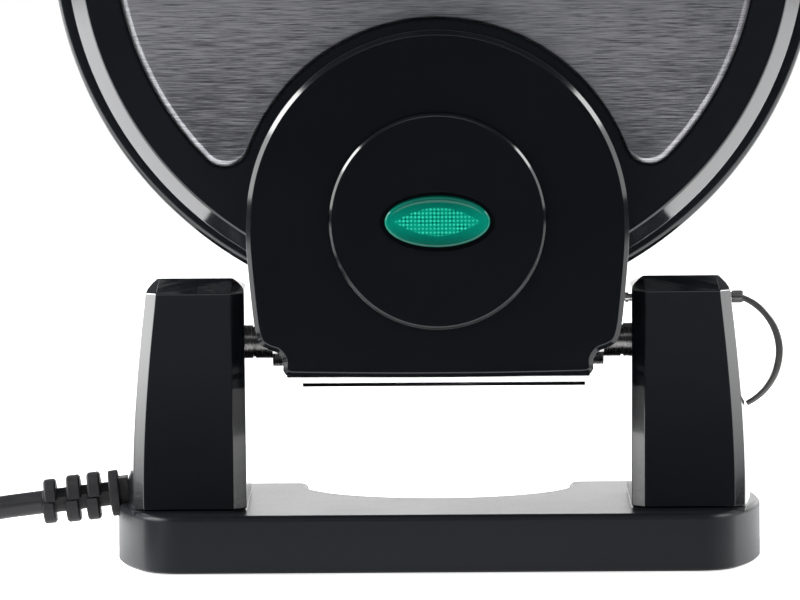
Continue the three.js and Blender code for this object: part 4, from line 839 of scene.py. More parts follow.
@dataclass(frozen=True)
class LensGlass(Finish):
    """Clear coloured plastic over a field of small facets in its middle, with a painted glow, painted
    highlights on the facets, and painted shade in their pits and towards the rim's top and bottom.
    """

    name: str = "green_lens"
    # deep is the rim's painted shade; lit and spark are painted light on the facets.
    deep: Point = (0.0, 0.06, 0.042)
    body: Point = (0.0, 0.16, 0.108)
    lit: Point = (0.0, 0.21, 0.13)
    spark: Point = (0.06, 0.86, 0.60)
    centre_z: float = FLIP_AXIS_Z + ARCH_RISE
    half_width: float = 12.6
    half_height: float = 4.2
    pitch: float = 1.13

    def make(self, tree: Tree) -> bpy.types.Material:
        """Returns the material made in a tree."""
        x, _, z = tree.axes()
        z = z - self.centre_z * MM
        share = (x / (self.half_width * MM)).math("ABSOLUTE")
        edge = (1.0 - share ** WINDOW_POWER).math("MAXIMUM", 0.0) * (self.half_height * MM)
        inside = 1.0 - (z.math("ABSOLUTE") / (edge + 1e-5)).between(0.93, 1.03)
        turn = 2 * math.pi / (self.pitch * MM)
        rows = (x * turn).math("SINE") * 0.5 + (z * turn).math("SINE") * 0.5
        spread = tree.noise(260.0, 1.0)
        facet = rows.between(0.0, 0.8)
        painted_pit_shade = 1.0 - rows.between(-0.85, -0.4)
        # Painted highlights: the facets take lit greens with sparkling mint spots.
        glow = tree.blend(spread, self.lit, self.spark)
        field = tree.blend(facet * 0.8, self.lit, glow)
        # Painted shade darkens the pits between the facets.
        field = tree.blend(painted_pit_shade * spread.between(0.42, 0.62) * 0.92, field, (0.0, 0.03, 0.02))
        # Painted shade: the rim darkens towards its top and bottom.
        band = (z.math("ABSOLUTE") / (self.half_height * 2 * MM)).between(0.0, 1.0)
        rim = tree.blend(band, self.body, self.deep)
        colour = tree.blend(inside, rim, field)
        # The emission is a painted glow: the lens gives off its own colour, though it is no lamp.
        return tree.surface(Base_Color=colour, Roughness=0.05, Specular_IOR_Level=0.35,
                            Emission_Color=colour, Emission_Strength=0.2,
                            Normal=tree.bump(facet * inside, 4e-5, 0.5))


@dataclass(frozen=True)
class Rubber(Finish):
    """Moulded rubber with a dull grain."""

    name: str = "black_rubber"
    dark: Point = (0.006, 0.006, 0.007)
    pale: Point = (0.015, 0.015, 0.0165)
    grain_scale: float = 1300.0

    def make(self, tree: Tree) -> bpy.types.Material:
        """Returns the material made in a tree."""
        grain = tree.noise(self.grain_scale, 2.0)
        cloud = tree.noise(120.0, 2.0)
        return tree.surface(Base_Color=tree.blend(cloud, self.dark, self.pale),
                            Roughness=0.4 + grain * 0.3, Specular_IOR_Level=0.32, Normal=tree.bump(grain, 5e-5))


@dataclass(frozen=True)
class CordJacket(Finish):
    """The smooth plastic jacket of a mains lead, slightly scuffed."""

    name: str = "cord_jacket"
    dark: Point = (0.010, 0.010, 0.011)
    pale: Point = (0.020, 0.020, 0.022)

    def make(self, tree: Tree) -> bpy.types.Material:
        """Returns the material made in a tree."""
        scuff = tree.noise(900.0, 3.0).between(0.5, 0.75)
        cloud = tree.noise(60.0, 2.0)
        return tree.surface(Base_Color=tree.blend(cloud, self.dark, self.pale),
                            Roughness=0.38 + scuff * 0.18, Specular_IOR_Level=0.36,
                            Normal=tree.bump(tree.noise(700.0, 2.0), 1.2e-5))


@dataclass(frozen=True)
class PaleFloor(Finish):
    """A pale matt floor that thins out with distance, and soon in front of the part."""

    name: str = "pale_floor"
    dark: Point = (0.86, 0.86, 0.865)
    pale: Point = (0.88, 0.88, 0.885)
    reach: float = 2.4
    near_edge: float = -0.34
    near_fade: float = 0.14
    glow: float = 0.8

    def make(self, tree: Tree) -> bpy.types.Material:
        """Returns the material made in a tree."""
        x, y, _ = tree.axes()
        far = ((x * x + y * y) ** 0.5).between(self.reach * 0.35, self.reach * 0.9)
        kept = (1.0 - far) * y.between(self.near_edge, self.near_edge + self.near_fade)
        cloud = tree.noise(3.0, 2.0)
        matt = tree.shader(Base_Color=tree.blend(cloud, self.dark, self.pale), Roughness=0.7,
                           Specular_IOR_Level=0.3, Emission_Color=(1.0, 1.0, 1.0), Emission_Strength=self.glow)
        clear = tree.node("ShaderNodeBsdfTransparent", {}, {})
        return tree.finish(tree.node("ShaderNodeMixShader", {}, {0: kept, 1: clear, 2: matt}))


@dataclass(frozen=True)
class Speckled(Finish):
    """A plain material of two near colours and a roughness that varies over it."""

    dark: Point = (0.5, 0.5, 0.5)
    pale: Point = (0.6, 0.6, 0.6)
    polish: float = 0.4
    metal: float = 0.0
    scale: float = 300.0
    clear: float = 0.0

    def make(self, tree: Tree) -> bpy.types.Material:
        """Returns the material made in a tree."""
        cloud = tree.noise(self.scale, 3.0)
        return tree.surface(Base_Color=tree.blend(cloud, self.dark, self.pale), Metallic=self.metal,
                            Roughness=self.polish + cloud * 0.12, Transmission_Weight=self.clear,
                            Normal=tree.bump(cloud, 1e-5))


GLOSS = GlossPlastic()
TOWER = TowerPlastic()
SHELL = GlossPlastic(name="gloss_shell_plastic", dark=(0.0040, 0.0048, 0.0064), pale=(0.0066, 0.0076, 0.0096),
                     polish=0.12, level=0.7)
RING = GlossPlastic(name="gloss_ring_plastic", dark=(0.045, 0.044, 0.042), pale=(0.08, 0.078, 0.075),
                    polish=0.18, level=0.7)
SATIN = SatinPlastic()
BRUSHED = BrushedSteel()
BRIGHT = TurnedSteel()
SHAFT = TurnedSteel(name="shaft_steel", dark=(0.035, 0.034, 0.034), pale=(0.26, 0.255, 0.25))
COATED = CoatedCasting()
GREEN_LENS = LensGlass()
# The red lens carries the same painted glow, painted highlights and painted shade.
RED_LENS = LensGlass(name="red_lens", deep=(0.10, 0.0, 0.0), body=(0.22, 0.004, 0.002),
                     lit=(0.42, 0.012, 0.006), spark=(0.8, 0.16, 0.1))
RUBBER = Rubber()
JACKET = CordJacket()
LAMP_GLASS = Speckled("lamp_glass", dark=(0.75, 0.7, 0.55), pale=(0.85, 0.8, 0.68), polish=0.05, scale=200.0,
                      clear=0.7)
NICKEL = Speckled("nickel_brass", dark=(0.48, 0.44, 0.34), pale=(0.66, 0.62, 0.52), polish=0.2, metal=1.0,
                  scale=420.0)
NYLON = Speckled("white_nylon", dark=(0.62, 0.60, 0.54), pale=(0.72, 0.70, 0.65), polish=0.4, scale=260.0)


def dress(node: str, finish: Finish) -> None:
    """Gives a carried-over CAD node a finish."""
    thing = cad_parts[node]
    thing.data.materials.clear()
    thing.data.materials.append(finish.material())
    log.info("%s: CAD node, %s", node, finish.name)


# Sub-assemblies

@dataclass
class Base:
    """The low base with its notched back, bottom plate, feet and screws."""

    depth_near: float = 45.0
    depth_far: float = 55.0
    side_reach: float = 96.0
    side_radius: float = 105.0
    corner: float = 8.0
    top_z: float = 17.5
    bottom_z: float = 0.5
    bottom_edge: float = 0.5
    wall: float = 2.5
    top_edge: float = 1.8
    cutout_radius: float = 40.0
    cutout_y: float = 47.0
    shoulder: float = 4.0
    seat_rise: float = 0.4
    seat_steps: int = 10
    lead_hole: float = 7.6
    lead_hole_end: float = -91.0
    foot_radius: float = 7.0
    foot_height: float = 1.7
    foot_edge: Flat = (0.7, 0.9)
    foot_stem: Flat = (2.5, 4.0)
    screw_head: Point = (3.0, 0.3, 1.7)
    screw_shank: Flat = (1.6, 12.5)
    screw_slot: Point = (2.1, 0.35, 1.1)
    foot_places: tuple[Flat, ...] = ((-76.0, -32.0), (-76.0, 40.0), (76.0, -32.0), (76.0, 40.0))
    screw_places: tuple[Flat, ...] = ((-60.0, -36.0), (-60.0, 46.0), (60.0, -36.0), (60.0, 46.0))

    def outline(self) -> list[Flat]:
        """Returns the base's plan, anticlockwise from the front's left end."""
        middle = (self.depth_far - self.depth_near) / 2
        half = (self.depth_far + self.depth_near) / 2
        centre_x = self.side_reach - self.side_radius

        def side_x(dy: float) -> float:
            """Returns the bowed side's reach at a distance from the middle."""
            return centre_x + math.sqrt(self.side_radius ** 2 - dy ** 2)

        front, back = middle - half, middle + half
        straight = half - self.corner
        end_x = side_x(half)
        right = [(end_x - self.corner, front)]
        right += bend(right[0], (end_x, front), (side_x(straight), middle - straight), 8)
        right += [(side_x(dy), middle + dy) for dy in (straight * (i / 12 - 1) for i in range(1, 25))]
        right += bend(right[-1], (end_x, back), (end_x - self.corner, back), 8)
        rise = back - self.cutout_y
        reach = math.sqrt(self.cutout_radius ** 2 - (rise - self.shoulder) ** 2)
        start = math.atan2(rise - self.shoulder, reach)
        notch = [(reach + self.shoulder, back)]
        notch += bend(notch[0], (reach, back), (reach, back - self.shoulder), 5)
        notch += arc((0.0, self.cutout_y), self.cutout_radius, start, -math.pi / 2, 24)[1:]
        left = [(-x, y) for x, y in reversed(right + notch[:-1])]
        return right + notch + left

    def shell(self) -> None:
        """Builds the base's shell: rounded top edge, two raised seats and a hollow underside."""
        outline = self.outline()
        low, top, rise = self.bottom_z, self.top_z, self.seat_rise
        body = Solid.slab(outline, [(low, self.bottom_edge), (low + self.bottom_edge, 0.0),
                                    *quarter_round(top, self.top_edge)], Plane.PLAN)
        plan = Towers().foot_plan(self.seat_steps)
        for side in (-1.0, 1.0):
            seat = [(x * side, y) for x, y in (plan if side > 0 else reversed(plan))]
            body.join(Solid.slab(seat, [(top - OVERRUN, 0.0), (top, 0.0), (top + rise, rise)], Plane.PLAN))
        hollow = Solid.slab(outline, [(low - OVERRUN, self.wall), (top - self.wall, self.wall)], Plane.PLAN)
        notch = rod(-self.side_reach - OVERRUN, self.lead_hole_end, self.lead_hole, (0.0, LEAD_Y, LEAD_Z))
        body.cut(hollow, notch)
        body.piece("base_body", "base", SATIN, "base_shell")

    def feet(self) -> None:
        """Builds the four rubber feet and the four screws with their crossed slots."""
        r, top = self.foot_radius, self.foot_height
        edge_in, edge_up = self.foot_edge
        stem, stem_top = self.foot_stem
        for i, (x, y) in enumerate(self.foot_places, 1):
            profile = eased([(0.0, 0.0), (r - edge_in, 0.0), (r, edge_up), (r, top), (stem, top),
                             (stem, stem_top), (0.0, stem_top)], [0.0, 0.5, 0.3, 0.2, 0.1, 0.3, 0.0], 3)
            Solid.turned(profile, along_z, SMALL_SIDES).shifted((x, y, 0.0)).piece(
                f"foot_pad_{i}", "base", RUBBER, f"rubber_foot_{i}")
        head, head_low, head_top = self.screw_head
        shank, shank_top = self.screw_shank
        long, slim, deep = self.screw_slot
        for i, (x, y) in enumerate(self.screw_places, 1):
            profile = eased([(0.0, head_low), (head, head_low), (head, head_top), (shank, head_top),
                             (shank, shank_top), (0.0, shank_top)], [0.0, 0.8, 0.1, 0.1, 0.2, 0.0], 3)
            screw = Solid.turned(profile, along_z, TINY_SIDES)
            screw.cut(block((-long, -slim, -OVERRUN), (long, slim, deep)),
                      block((-slim, -long, -OVERRUN), (slim, long, deep)))
            screw.shifted((x, y, 0.0)).piece(
                f"under_screw_{i}", "base", BRIGHT, f"base_screw_{i}")

    def build(self) -> None:
        """Builds the base's pieces."""
        self.shell()
        self.feet()
        dress("base_bottom_plate", SATIN)
        dress("cord_clamp", NYLON)
        dress("terminal_block", NYLON)


def tower_plan(inner: float, outer: float, half: float, steps: int, bulge: float, near_edge: float,
               far_edge: float) -> list[Flat]:
    """The plan of a tower at one height, anticlockwise.

    Args:
        inner: The inner side's x.
        outer: The outer side's furthest x.
        half: Half of its depth.
        steps: The steps in its bowed outer side.
        bulge: How far the outer side bows out.
        near_edge: The width of the chamfers beside the hinge cover.
        far_edge: The width of the outer chamfers.

    Returns:
        The plan's points.
    """
    edge_x = outer - bulge
    plan = [(inner, -half + near_edge), (inner + near_edge, -half), (edge_x - far_edge, -half)]
    for i in range(steps + 1):
        y = (half - far_edge) * (2 * i / steps - 1)
        plan.append((edge_x + bulge * (1 - (y / (half - far_edge)) ** 2), y))
    return plan + [(edge_x - far_edge, half), (inner + near_edge, half), (inner, half - near_edge)]


@dataclass
class Towers:
    """The two towers and the bushings inside them."""

    foot_z: float = 17.9
    crease_z: float = 80.9
    top_z: float = 85.2
    middle_z: float = 46.0
    half_foot: float = 33.0
    half_crease: float = 18.0
    half_top: float = 12.0
    inner_foot: float = 56.8
    inner_top: float = 57.5
    outer_foot: float = 92.8
    outer_middle: float = 91.3
    outer_top: float = 86.7
    bulge: float = 2.6
    bulge_power: float = 0.8
    near_edge: float = 3.8
    far_edge: float = 3.2
    near_edge_top: float = 0.6
    far_edge_top: float = 0.5
    top_edge: float = 3.4
    top_fall: float = 2.2
    levels: int = 20
    cap_levels: int = 4
    cap_power: float = 1.5
    side_steps: int = 14
    edge_round: float = 0.55
    shaft_hole: float = 5.6
    shaft_hole_end: float = 62.0
    pin_hole: float = 1.8
    pin_hole_ends: Flat = (54.0, 96.0)
    lead_hole: float = 5.6
    lead_hole_ends: Flat = (-97.0, -86.3)

    def outer_x(self, z: float) -> float:
        """Returns the outer side's reach at a height."""
        share = (z - self.foot_z) / (self.crease_z - self.foot_z)
        middle = (self.middle_z - self.foot_z) / (self.crease_z - self.foot_z)
        drop = self.outer_foot - self.outer_top
        power = math.log((self.outer_foot - self.outer_middle) / drop) / math.log(middle)
        return self.outer_foot - drop * max(share, 0.0) ** power

    def foot_plan(self, steps: int) -> list[Flat]:
        """Returns the plan at the right tower's foot, with a number of steps in its bowed side."""
        return tower_plan(self.inner_foot, self.outer_foot, self.half_foot, steps, self.bulge, self.near_edge,
                          self.far_edge)

    def body(self) -> Solid:
        """Returns the right tower's solid, less bowed towards the top, where its chamfers run out."""
        rings: list[Ring] = []
        for i in range(self.levels + 1):
            z = lerp(self.foot_z + STATIC_GAP, self.crease_z, i / self.levels)
            share = (z - self.foot_z) / (self.crease_z - self.foot_z)
            plan = tower_plan(lerp(self.inner_foot, self.inner_top, share), self.outer_x(z),
                              lerp(self.half_foot, self.half_crease, share), self.side_steps,
                              self.bulge * (1 - share) ** self.bulge_power, self.near_edge, self.far_edge)
            rings.append([(x, y, z) for x, y in plan])
        for k in range(1, self.cap_levels + 1):
            share = k / self.cap_levels
            turn = share ** self.cap_power
            half = lerp(self.half_crease, self.half_top, share)
            inner, outer = self.inner_top + self.top_edge * share ** 2, self.outer_top - self.top_edge * turn
            plan = tower_plan(inner, outer, half, self.side_steps, 0.0,
                              lerp(self.near_edge, self.near_edge_top, turn),
                              lerp(self.far_edge, self.far_edge_top, turn))
            z = lerp(self.crease_z, self.top_z, share)
            rings.append([(x, y, z - share * self.top_fall * (y + half) / (2 * half)) for x, y in plan])
        return Solid.skinned(rings).rounded(self.edge_round, 3, 14.0)

    def build(self) -> None:
        """Builds both towers, and dresses the bushings."""
        mirror = Matrix.Scale(-1.0, 4, (1.0, 0.0, 0.0))
        for side, name in ((1, "right"), (-1, "left")):
            tower = self.body()
            start = self.inner_foot - OVERRUN
            tower.cut(rod(start, self.shaft_hole_end, self.shaft_hole, (0.0, 0.0, FLIP_AXIS_Z)))
            if side > 0:
                tower.cut(rod(*self.pin_hole_ends, self.pin_hole, (0.0, 0.0, FLIP_AXIS_Z + PIN_RISE), 24))
            else:
                tower.moved(mirror)
                tower.thing.data.flip_normals()
                tower.cut(rod(*self.lead_hole_ends, self.lead_hole, (0.0, LEAD_Y, LEAD_Z), SMALL_SIDES))
            tower.piece(f"{name}_tower_skin", "base", TOWER, f"{name}_tower_cover", crease=24.0)
            dress(f"{name}_shaft_bushing", NYLON)


@dataclass
class Pivot:
    """The flip shafts, the lock pin, its spring and its finger ring."""

    shaft_radius: float = 5.0
    shaft_inner: float = 34.0
    shaft_outer: float = 82.0
    shaft_bore: float = 3.0
    shaft_edge: float = 0.5
    groove_ends: Flat = (54.4, 55.2)
    groove_depth: float = 0.45
    groove_wall: float = 0.1
    pin_z: float = FLIP_AXIS_Z + PIN_RISE
    pin_radius: float = 1.5
    pin_end: float = 90.7
    pin_end_edge: float = 0.2
    tip_x: float = 54.1
    tip_edge: float = 0.25
    tip_pitch: float = 0.9
    tip_groove: float = 0.4
    tip_wall: float = 0.05
    collar_x: float = 66.0
    collar_long: float = 2.0
    collar_radius: float = 3.4
    collar_edge: float = 0.3
    spring_ends: Flat = (68.3, 78.5)
    spring_wire: float = 0.32
    spring_radius: float = 2.15
    spring_turns: int = 6
    spring_steps: int = 20
    spring_keep: float = 0.32
    ring_centre: Flat = (84.5, 61.5)
    ring_radius: float = 17.3
    ring_band: float = 2.0
    ring_depth: float = 4.0
    ring_edge: float = 0.7
    ring_steps: int = 56
    ring_angles: Flat = (79.3, -64.5)
    ring_shares: Flat = (0.78, 1.12)
    eye_radius: float = 1.9
    eye_ends: Flat = (87.7, 91.2)
    eye_edges: Flat = (0.3, 1.4)
    eye_hole: float = 1.6
    eye_hole_ends: Flat = (87.0, 91.0)

    def shafts(self) -> None:
        """Builds the two shafts: steel tube with turned grooves where they show beside the towers."""
        for side, name in ((1.0, "right"), (-1.0, "left")):
            r, edge, thin = self.shaft_radius, self.shaft_edge, self.shaft_radius - self.groove_depth
            low, high = self.shaft_inner, self.shaft_outer
            start, end = self.groove_ends
            line = [(r - edge, low), (r, low + edge), (r, start), (thin, start + self.groove_wall),
                    (thin, end - self.groove_wall), (r, end), (r, high - edge), (r - edge, high)]
            bore, turn = (0.0, 0.0) if side > 0 else (self.shaft_bore, math.pi)
            shaft = Solid.turned([(bore, low), *line, (bore, high)], along_x, BAR_SIDES, side < 0)
            shaft.moved(Matrix.Translation((0.0, 0.0, FLIP_AXIS_Z)) @ Matrix.Rotation(turn, 4, "Z"))
            shaft.piece(f"{name}_shaft", "near_half", SHAFT, f"{name}_flip_shaft")

    def pin(self) -> None:
        """Builds the lock pin with its grooves and collar."""
        r, thin, pitch = self.pin_radius, self.pin_radius - self.tip_groove, self.tip_pitch
        wide, edge = self.collar_radius, self.collar_edge
        low, high = self.collar_x, self.collar_x + self.collar_long
        profile = [(0.0, self.tip_x), (r - self.tip_edge, self.tip_x), (r, self.tip_x + self.tip_edge)]
        for k in (1, 3):
            x = self.tip_x + k * pitch
            profile += [(r, x), (thin, x + self.tip_wall), (thin, x + pitch - self.tip_wall), (r, x + pitch)]
        end, end_edge = self.pin_end, self.pin_end_edge
        profile += [(r, low), (wide - edge, low), (wide, low + edge), (wide, high - edge), (wide - edge, high),
                    (r, high), (r, end - end_edge), (r - end_edge, end), (0.0, end)]
        Solid.turned(profile, along_x, SMALL_SIDES).shifted((0.0, 0.0, self.pin_z)).piece(
            "lock_pin_bar", "lock_pull", BRIGHT, "lock_pin")

    def spring(self) -> None:
        """Builds the lock spring as wire in one fixed shape, though the real spring flattens as the pin is
        pulled.
        """
        wire, turns, r = self.spring_wire, self.spring_turns, self.spring_radius
        low, high = self.spring_ends
        count = turns * self.spring_steps
        path = []
        for i in range(count + 1):
            angle = 2 * math.pi * turns * i / count
            path.append((lerp(low + wire, high - wire, i / count), r * math.cos(angle),
                         self.pin_z + r * math.sin(angle)))
        section = arc((0.0, 0.0), wire, 0.0, 2 * math.pi, 8)[:-1]
        spring = Solid.swept(path, section).piece("lock_spring_wire", "base", BRIGHT, "lock_spring")
        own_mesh(spring)

    def ring(self) -> None:
        """Builds the finger ring: a flat-sided open band, fullest at its middle, on a small eye."""
        start, end = (math.radians(angle) for angle in self.ring_angles)
        steps = self.ring_steps
        line = arc(self.ring_centre, self.ring_radius, start, end, steps)
        section = rectangle((0.0, 0.0), (self.ring_depth / 2, self.ring_band / 2), self.ring_edge, 3)
        shares = [lerp(*self.ring_shares, math.sin(math.pi * i / steps)) for i in range(steps + 1)]
        band = Solid.swept([(x, 0.0, z) for x, z in line], section, shares)
        low, high = self.eye_ends
        eye = Solid.turned(eased([(0.0, low), (self.eye_radius, low), (self.eye_radius, high), (0.0, high)],
                                 [0.0, *self.eye_edges, 0.0], 4), along_x, SMALL_SIDES)
        band.join(eye.shifted((0.0, 0.0, self.pin_z)))
        band.cut(rod(*self.eye_hole_ends, self.eye_hole, (0.0, 0.0, self.pin_z), TINY_SIDES))
        band.piece("finger_ring_band", "finger_ring", RING, "pull_ring")

    def build(self) -> None:
        """Builds the pieces."""
        self.shafts()
        self.pin()
        self.spring()
        self.ring()


@dataclass
class RoundHalf:
    """One round half of the iron: housing, steel face, hinge cover with its lamp, plate and handle."""

    side: Side
    disc_z: float = 122.2
    rim_radius: float = 113.8
    rim_depth: float = 9.0
    drum_radius: float = 109.0
    drum_depth: float = 25.5
    shoulder_radius: float = 104.4
    face_depth: float = 36.0
    edge_radii: tuple[float, ...] = (0.0, 2.4, 0.9, 1.6, 1.1, 0.0)
    mid_gap: float = 0.35
    mid_edge: float = 0.3
    mid_bevel: float = 0.5
    wall: float = 2.6
    shoulder_wall: float = 1.3
    recess_room: float = 0.6
    steel_radius: float = 94.3
    steel_corner: float = 7.5
    steel_edge: tuple[Flat, ...] = ((0.0, 0.0), (0.4, 0.0), (0.52, 0.12), (0.64, 0.32), (1.37, 1.7),
                                    (1.44, 2.1), (1.47, 3.0), (1.5, 4.6))
    steel_arch_share: float = 0.35
    steel_full_from: float = 0.9
    steel_full_rate: float = 12.0
    recess_depth: float = 34.0
    arch_radius: float = 56.0
    arch_z: float = ARCH_RISE
    arch_gap: float = 3.0
    cover_depth: float = 43.5
    cover_wall: float = 2.2
    cover_edge: float = 1.35
    cover_sides: tuple[Flat, ...] = ((56.0, 38.4), (56.0, 31.0), (55.0, 18.7), (53.9, 8.5), (53.1, 4.6),
                                     (52.0, 2.4), (49.6, 0.9), (47.2, 0.0), (45.6, -2.3), (45.5, -5.2))
    cover_heel: tuple[Flat, Flat] = ((0.7, 1.3), (2.6, 1.75))
    cover_drop: float = 7.0
    barrel: float = 12.3
    belly_half: float = 44.4
    belly_back: float = 1.6
    belly_curve: tuple[Flat, ...] = ((1.0, 0.05), (0.7, 0.3), (0.4, 0.68), (0.18, 0.94))
    lip_low: float = -13.5
    lip_ends: Flat = (-40.5, 43.8)
    lip_depth: float = 1.4
    shaft_hole: float = 8.0
    pin_hole: float = 1.8
    hole_reach: float = 60.0
    lid_relief: float = 19.5
    lid_barrel: Flat = (44.6, 13.3)
    boss_radius: float = 31.8
    boss_top: float = 45.0
    boss_edge: tuple[Flat, ...] = ((0.0, 0.85), (0.75, 0.1), (1.1, 0.0))
    boss_round: float = 0.22
    lens_width: float = 16.7
    lens_height: float = 8.7
    lens_gap: Flat = (1.25, 1.2)
    lens_hole: float = -1.0
    lens_groove: float = 0.1
    lens_steps: int = 72
    lens_rim: tuple[Row, ...] = (
        (0.0, 0.0, 40.5, 0.0), (0.0, 0.0, 45.0, 0.0), (0.12, 0.12, 45.3, 0.0), (0.4, 0.38, 45.58, 0.0),
        (0.8, 0.75, 45.7, 0.0), (1.15, 1.1, 45.68, 0.0), (1.5, 1.45, 45.55, 0.0), (2.2, 2.1, 45.42, 0.15))
    lens_window: tuple[Row, ...] = (
        (12.9, 4.7, 45.4, 0.5), (12.4, 4.1, 45.42, 0.85), (11.4, 3.6, 45.48, 0.9), (9.0, 2.8, 45.56, 0.9),
        (5.0, 1.5, 45.62, 0.9), (1.0, 0.3, 45.64, 0.9))
    plate_profile: tuple[Flat, ...] = ((0.0, 16.0), (93.0, 16.0), (94.5, 0.35), (110.2, 0.35), (110.2, 6.1),
                                       (97.5, 6.1), (96.0, 20.0), (0.0, 20.0))
    plate_radii: tuple[float, ...] = (0.0, 2.5, 1.2, 0.6, 0.6, 0.8, 2.5, 0.0)
    plate_dish: float = 16.0
    post_rows: int = 3
    post_pitch: float = 26.0
    post_half: float = 6.5
    post_corner: float = 1.6
    post_reach: float = 80.0
    post_edge: tuple[Flat, ...] = ((4.9, 1.25), (4.3, 1.5), (4.0, 2.1))
    rib_half: Flat = (94.0, 2.25)
    rib_corner: float = 0.3
    rib_edge: tuple[Flat, ...] = ((1.6, 0.0), (1.15, 0.35), (1.0, 0.9))
    grip_rise: float = 78.0
    grip_sink: float = 17.0
    grip_half: float = 34.0
    grip_tip: float = 28.0
    grip_corner: float = 14.0
    grip_depths: Flat = (1.0, 18.0)
    grip_edge: float = 4.0
    grip_round: float = 0.35
    slot_half: float = 9.8
    slot_over: float = 5.0
    latch_drop: float = 5.1
    latch_y: float = -11.0
    latch_room: float = 3.8
    latch_slot: Flat = (-34.0, -7.2)
    latch_hole: Flat = (14.9, 2.3)
    catch_slot: Flat = (-15.6, -11.0)
    catch_drop: float = 4.2
    rest_rise: float = 98.5
    rest_half: Flat = (24.0, 6.0)
    rest_depths: Flat = (25.5, 64.9)
    rest_corner: float = 2.5
    rest_edge: float = 3.0

    @property
    def body(self) -> str:
        """The CAD body of this half."""
        return f"{self.side.value}_half"

    @property
    def is_lid(self) -> bool:
        """Whether this is the half that opens."""
        return self.side is Side.FAR

    def piece(self, solid: Solid, name: str, finish: Finish, node: str,
              crease: float = 32.0) -> bpy.types.Object:
        """Sets a solid of this half in the scene, on its own body and for its own node."""
        half = self.side.value
        return solid.moved(self.side.matrix).piece(f"{half}_{name}", self.body, finish, f"{half}_{node}",
                                                   crease=crease)

    def disc(self, profile: Sequence[Flat], sides: int = DISC_SIDES, shut: bool = False) -> Solid:
        """Returns a profile turned about the disc's own axis."""
        return Solid.turned(profile, outward, sides, shut).shifted((0.0, 0.0, self.disc_z))

    def steel_outline(self, grow: float) -> list[Flat]:
        """Returns the steel face's outline, let out by grow, anticlockwise."""
        disc = self.steel_radius + grow
        arch = self.arch_radius + self.arch_gap - grow
        corner = max(self.steel_corner + grow, 1.0)
        apart = self.disc_z - self.arch_z
        up = ((arch + corner) ** 2 - (disc - corner) ** 2 + apart ** 2) / (2 * apart)
        out = math.sqrt((arch + corner) ** 2 - up ** 2)
        z = self.arch_z + up
        disc_angle = math.atan2(z - self.disc_z, out)
        arch_angle = math.atan2(self.arch_z - z, out)
        line = arc((0.0, self.disc_z), disc, disc_angle, math.pi - disc_angle, 120)
        line += arc((-out, z), corner, math.pi - disc_angle, 2 * math.pi + arch_angle, 16)[1:]
        line += arc((0.0, self.arch_z), arch, math.pi + arch_angle, -arch_angle, 60)[1:]
        line += arc((out, z), corner, math.pi - arch_angle, 2 * math.pi + disc_angle, 16)[1:-1]
        return line

    def housing_profile(self, grow: float) -> list[Flat]:
        """Returns the housing's outer profile from the mid-plane to the face's middle."""
        drum, shoulder = self.drum_radius + grow, self.shoulder_radius + grow
        face, drum_depth = self.face_depth + grow, self.drum_depth + grow
        low = -OVERRUN if grow else self.mid_gap
        return eased([(self.rim_radius + grow, low), (self.rim_radius + grow, self.rim_depth + grow),
                      (drum, self.rim_depth + grow), (drum, drum_depth), (shoulder, face), (0.0, face)],
                     self.edge_radii, 5)

    def housing_cutter(self) -> Solid:
        """Returns what has to be cut from a piece that sits against the housing."""
        return self.disc([(0.0, -OVERRUN), *self.housing_profile(STATIC_GAP)])

    def housing(self) -> None:
        """Builds the housing with its rim, drum, sloping shoulder and sunk face."""
        rim_in, drum_in = self.rim_radius - self.wall, self.drum_radius - self.wall
        floor = self.recess_depth - self.wall
        outer = self.housing_profile(0.0)
        inner = [(0.0, floor), (self.shoulder_radius - self.wall, floor),
                 (drum_in, self.drum_depth - self.shoulder_wall), (drum_in, self.rim_depth - self.wall),
                 (rim_in, self.rim_depth - self.wall), (rim_in, self.mid_gap + self.mid_edge),
                 (rim_in + self.mid_edge, self.mid_gap)]
        shell = self.disc([*outer, *inner], RIM_SIDES, True)
        recess = Solid.slab(self.steel_outline(self.recess_room),
                            [(self.recess_depth, 0.0), (self.face_depth + OVERRUN, 0.0)], Plane.FRONT)
        shell.cut(recess)
        self.piece(shell, "housing_skin", SHELL, "housing", crease=28.0)

    def steel_face(self) -> None:
        """Builds the brushed steel face, its edge broad round the disc and slim along the arch."""
        low = self.recess_depth + STATIC_GAP
        outline = self.steel_outline(0.0)
        full = [min(max(math.hypot(x, z - self.disc_z) / self.steel_radius - self.steel_full_from, 0.0)
                    * self.steel_full_rate, 1.0) for x, z in outline]
        rings: list[Ring] = []
        for rise, inset in self.steel_edge:
            slim, broad = drawn_in(outline, inset * self.steel_arch_share), drawn_in(outline, inset)
            rings.append([(lerp(a[0], b[0], share), -low - rise, lerp(a[1], b[1], share))
                          for a, b, share in zip(slim, broad, full)])
        self.piece(Solid.skinned(rings), "brushed_face", BRUSHED, "steel_plate", crease=40.0)

    def cover_outline(self) -> list[Flat]:
        """Returns the hinge cover's front outline, anticlockwise from the arch's right end."""
        line = arc((0.0, self.arch_z), self.arch_radius, 0.0, math.pi, 96)
        side = spline(self.cover_sides, 5)[1:]
        line += [(-x, z) for x, z in side]
        end_x, end_z = side[-1]
        heel = [(end_x - across, end_z - down) for across, down in self.cover_heel]
        line += [(-x, z) for x, z in heel]
        line += bend(line[-1], (0.0, -self.cover_drop - 1.0), heel[1], 24)
        return [*line, heel[0], *reversed(side)]

    def belly(self, inset: float) -> Solid:
        """Returns the cover's rounded underside, deepest at the mid-plane, drawn in by inset."""
        low = self.barrel - inset
        half = self.belly_half - inset
        face = self.cover_depth - self.belly_back - inset
        near = -OVERRUN if inset else self.mid_gap
        drop = self.cover_drop - inset
        curve = [(-face * back, -lerp(drop, low, share)) for back, share in self.belly_curve] + [(-near, -low)]
        outline = [(-near, 0.0), (-face, 0.0), *spline(curve, 6)]
        return Solid.slab(outline, [(-half, 0.0), (half, 0.0)], Plane.SIDE)

